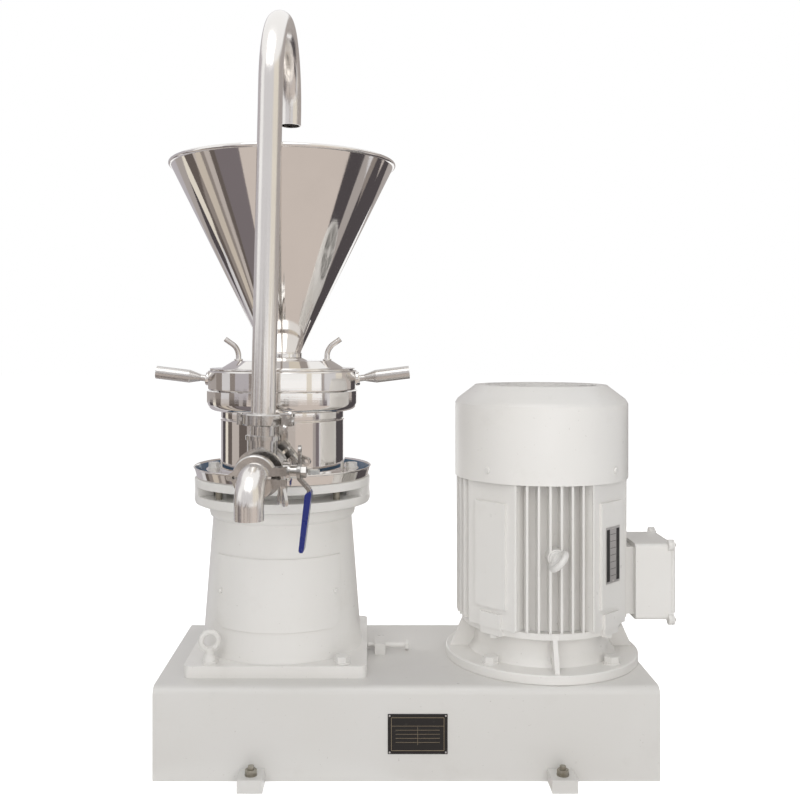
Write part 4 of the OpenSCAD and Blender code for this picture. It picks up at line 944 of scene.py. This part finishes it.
FLOOR_LIFT = 0.70
CARD_NEAR, CARD_FAR = 0.30, 2.8
CARD_HEIGHTS = (0.004, 0.45, 0.8, 2.8)
CARD_PROFILES = {
    "floor": ((CARD_NEAR, CARD_HEIGHTS[0]), (CARD_FAR, CARD_HEIGHTS[0])),
    "low": ((CARD_FAR, CARD_HEIGHTS[0]), (CARD_FAR, CARD_HEIGHTS[1])),
    "middle": ((CARD_FAR, CARD_HEIGHTS[1]), (CARD_FAR, CARD_HEIGHTS[2])),
    "high": ((CARD_FAR, CARD_HEIGHTS[2]), (CARD_FAR, CARD_HEIGHTS[3])),
}


def card(name, zone, start, end, colour):
    """Card round the mill that only shows in the steel, between two bearings; bearing 0 is the camera's."""
    bm = bmesh.new()
    points = [bm.verts.new((0, -r, z)) for r, z in CARD_PROFILES[zone]]
    for first, second in zip(points, points[1:]):
        bm.edges.new((first, second))
    turn = Matrix.Rotation(math.radians(start), 3, "Z")
    bmesh.ops.rotate(bm, verts=bm.verts, cent=(0, 0, 0), matrix=turn)
    bmesh.ops.spin(
        bm, geom=bm.verts[:] + bm.edges[:], cent=(0, 0, 0), axis=(0, 0, 1),
        angle=math.radians(end - start), steps=max(2, int((end - start) / 4)))
    bmesh.ops.transform(bm, matrix=MILL, verts=bm.verts)
    mesh = bpy.data.meshes.new(name)
    bm.to_mesh(mesh)
    bm.free()
    f = Finish(name)
    glow = f.node("ShaderNodeEmission", "Emission", {}, {"Color": rgba(colour), "Strength": 1.0})
    mesh.materials.append(f.surface(glow))
    f.material.cycles.emission_sampling = "NONE"
    made = bpy.data.objects.new(name, mesh)
    made.visible_camera = made.visible_diffuse = made.visible_shadow = False
    made.visible_transmission = made.visible_volume_scatter = False
    bpy.context.scene.collection.objects.link(made)
    return made


class MILL_OT_stage(bpy.types.Operator):
    """Make the floor, the lamps, the cards and the camera"""
    bl_idname = "mill.stage"
    bl_label = "Stage"

    def execute(self, context):
        scene = context.scene
        s = scene.mill_stage
        bm = bmesh.new()
        bmesh.ops.create_grid(bm, x_segments=1, y_segments=1, size=20)
        mesh = bpy.data.meshes.new("studio_floor")
        bm.to_mesh(mesh)
        bm.free()
        f = Finish("Studio floor")
        paper = f.node("ShaderNodeBsdfDiffuse", "BSDF", {}, {"Color": rgba((0.9, 0.9, 0.9))})
        lift = f.node("ShaderNodeEmission", "Emission", {}, {
            "Color": rgba((1, 1, 1)), "Strength": seen(f) * FLOOR_LIFT})
        mesh.materials.append(f.surface(f.node("ShaderNodeAddShader", "Shader", {}, {0: paper, 1: lift})))
        floor = bpy.data.objects.new("studio_floor", mesh)
        scene.collection.objects.link(floor)
        world = bpy.data.worlds.new("Even white")
        world.use_nodes = True
        scene.world = world
        f = Finish("Even white", world.node_tree)
        glow = f.node("ShaderNodeBackground", "Background", {}, {
            "Color": rgba((1, 1, 1)), "Strength": f.span(seen(f), 0, 1, s.sky, 1.0)})
        f.node("ShaderNodeOutputWorld", None, {}, {"Surface": glow})
        aim, warm = (0, 0, 0.45), (1.0, 0.985, 0.965)
        lamps = (
            ("left_lamp", (-0.95, -1.95, 1.15), s.front), ("right_lamp", (1.0, -1.95, 1.15), s.front),
            ("front_lamp", (0.2, -2.4, 0.55), s.front), ("rear_left_lamp", (-2.0, 1.7, 1.2), s.rear),
            ("rear_right_lamp", (2.0, 1.7, 1.2), s.rear))
        for name, place, power in lamps:
            made = lamp(name, place, aim, (0.9, 0.9), power, warm)
            made.visible_glossy = made.visible_camera = False
        lamp("top_lamp", (-0.4, -1.6, 3.2), (0, 0, 0.4), (2.4, 2.0), s.top, (0.98, 0.99, 1.0))
        white, black, brown = None, (0.085, 0.075, 0.08), (0.14, 0.118, 0.108)
        umber, plum, grey = (0.29, 0.255, 0.235), (0.20, 0.175, 0.185), (0.42, 0.385, 0.37)
        beige, khaki, taupe = (0.53, 0.48, 0.45), (0.61, 0.545, 0.47), (0.645, 0.575, 0.53)
        pale, sand, mauve = (0.70, 0.69, 0.705), (0.82, 0.77, 0.68), (0.50, 0.475, 0.50)
        zones = {
            "floor": (
                -180, (-126, mauve), (-116, pale), (-108, brown), (-99, umber), (-88, khaki), (-83, umber),
                (-76, beige), (-70, brown), (-42, plum), (79, taupe), (99, black), (113, grey), (152, black),
                (180, grey)),
            "low": (
                -150, (-136, mauve), (-122, black), (-112, sand), (-99, brown), (-80, beige), (-62, brown),
                (-55, grey), (-49, brown), (-31, taupe), (-22, brown), (-10, taupe), (14, umber), (27, beige),
                (60, taupe), (66, grey), (73, plum), (111, pale), (118, umber), (152, black)),
            "middle": (
                -160, (-114, grey), (-98, umber), (-80, pale), (-70, umber), (-46, mauve), (-40, umber), (-20, pale),
                (-12, brown), (-8, pale), (0, umber), (40, white), (48, sand), (64, white), (69, grey), (91, pale),
                (105, sand), (131, beige), (152, black)),
            "high": (-180, (-89, mauve), (-53, white), (31, pale), (80, sand), (180, grey)),
        }
        for zone, (start, *rows) in zones.items():
            for k, (end, colour) in enumerate(rows):
                if colour:
                    card("steel_card_%s_%02d" % (zone, k), zone, start, end, colour)
                start = end
        camera = bpy.data.cameras.new("photo_camera")
        camera.sensor_width = 36
        camera.lens = s.lens
        camera.shift_x = s.shift_x
        camera.shift_y = s.shift_y
        camera.clip_start = 0.01
        eye = bpy.data.objects.new("photo_camera", camera)
        eye.location = s.eye
        eye.rotation_euler = (math.pi / 2, 0, 0)
        scene.collection.objects.link(eye)
        scene.camera = eye
        scene.view_settings.view_transform = "Standard"
        return {"FINISHED"}


OPERATORS = (
    MILL_OT_base, MILL_OT_pedestal, MILL_OT_tray, MILL_OT_head, MILL_OT_handles, MILL_OT_hopper,
    MILL_OT_product_line, MILL_OT_valve, MILL_OT_clamps, MILL_OT_motor, MILL_OT_plates, MILL_OT_insides,
    MILL_OT_stage,
)


class MILL_PT_sidebar(bpy.types.Panel):
    """Lists the pieces of the mill"""
    bl_idname = "MILL_PT_sidebar"
    bl_label = "Colloid mill"
    bl_space_type = "VIEW_3D"
    bl_region_type = "UI"
    bl_category = "Mill"

    def draw(self, context):
        for group in (context.scene.mill_sizes, context.scene.mill_colours, context.scene.mill_stage):
            box = self.layout.box()
            for name in group.__annotations__:
                box.prop(group, name)
        for operator in OPERATORS:
            self.layout.operator(operator.bl_idname)


GROUPS = {"mill_sizes": MillSizes, "mill_colours": MillColours, "mill_stage": StageSizes}


def register():
    for name, group in GROUPS.items():
        bpy.utils.register_class(group)
        setattr(bpy.types.Scene, name, PointerProperty(type=group))
    for made in OPERATORS + (MILL_PT_sidebar,):
        bpy.utils.register_class(made)


def unregister():
    for made in (MILL_PT_sidebar,) + OPERATORS[::-1]:
        bpy.utils.unregister_class(made)
    for name, group in GROUPS.items():
        delattr(bpy.types.Scene, name)
        bpy.utils.unregister_class(group)


def main():
    register()
    make_finishes()
    for operator in OPERATORS:
        group, name = operator.bl_idname.split(".")
        getattr(getattr(bpy.ops, group), name)()
    bpy.context.view_layer.update()


if __name__ == "__main__":
    main()
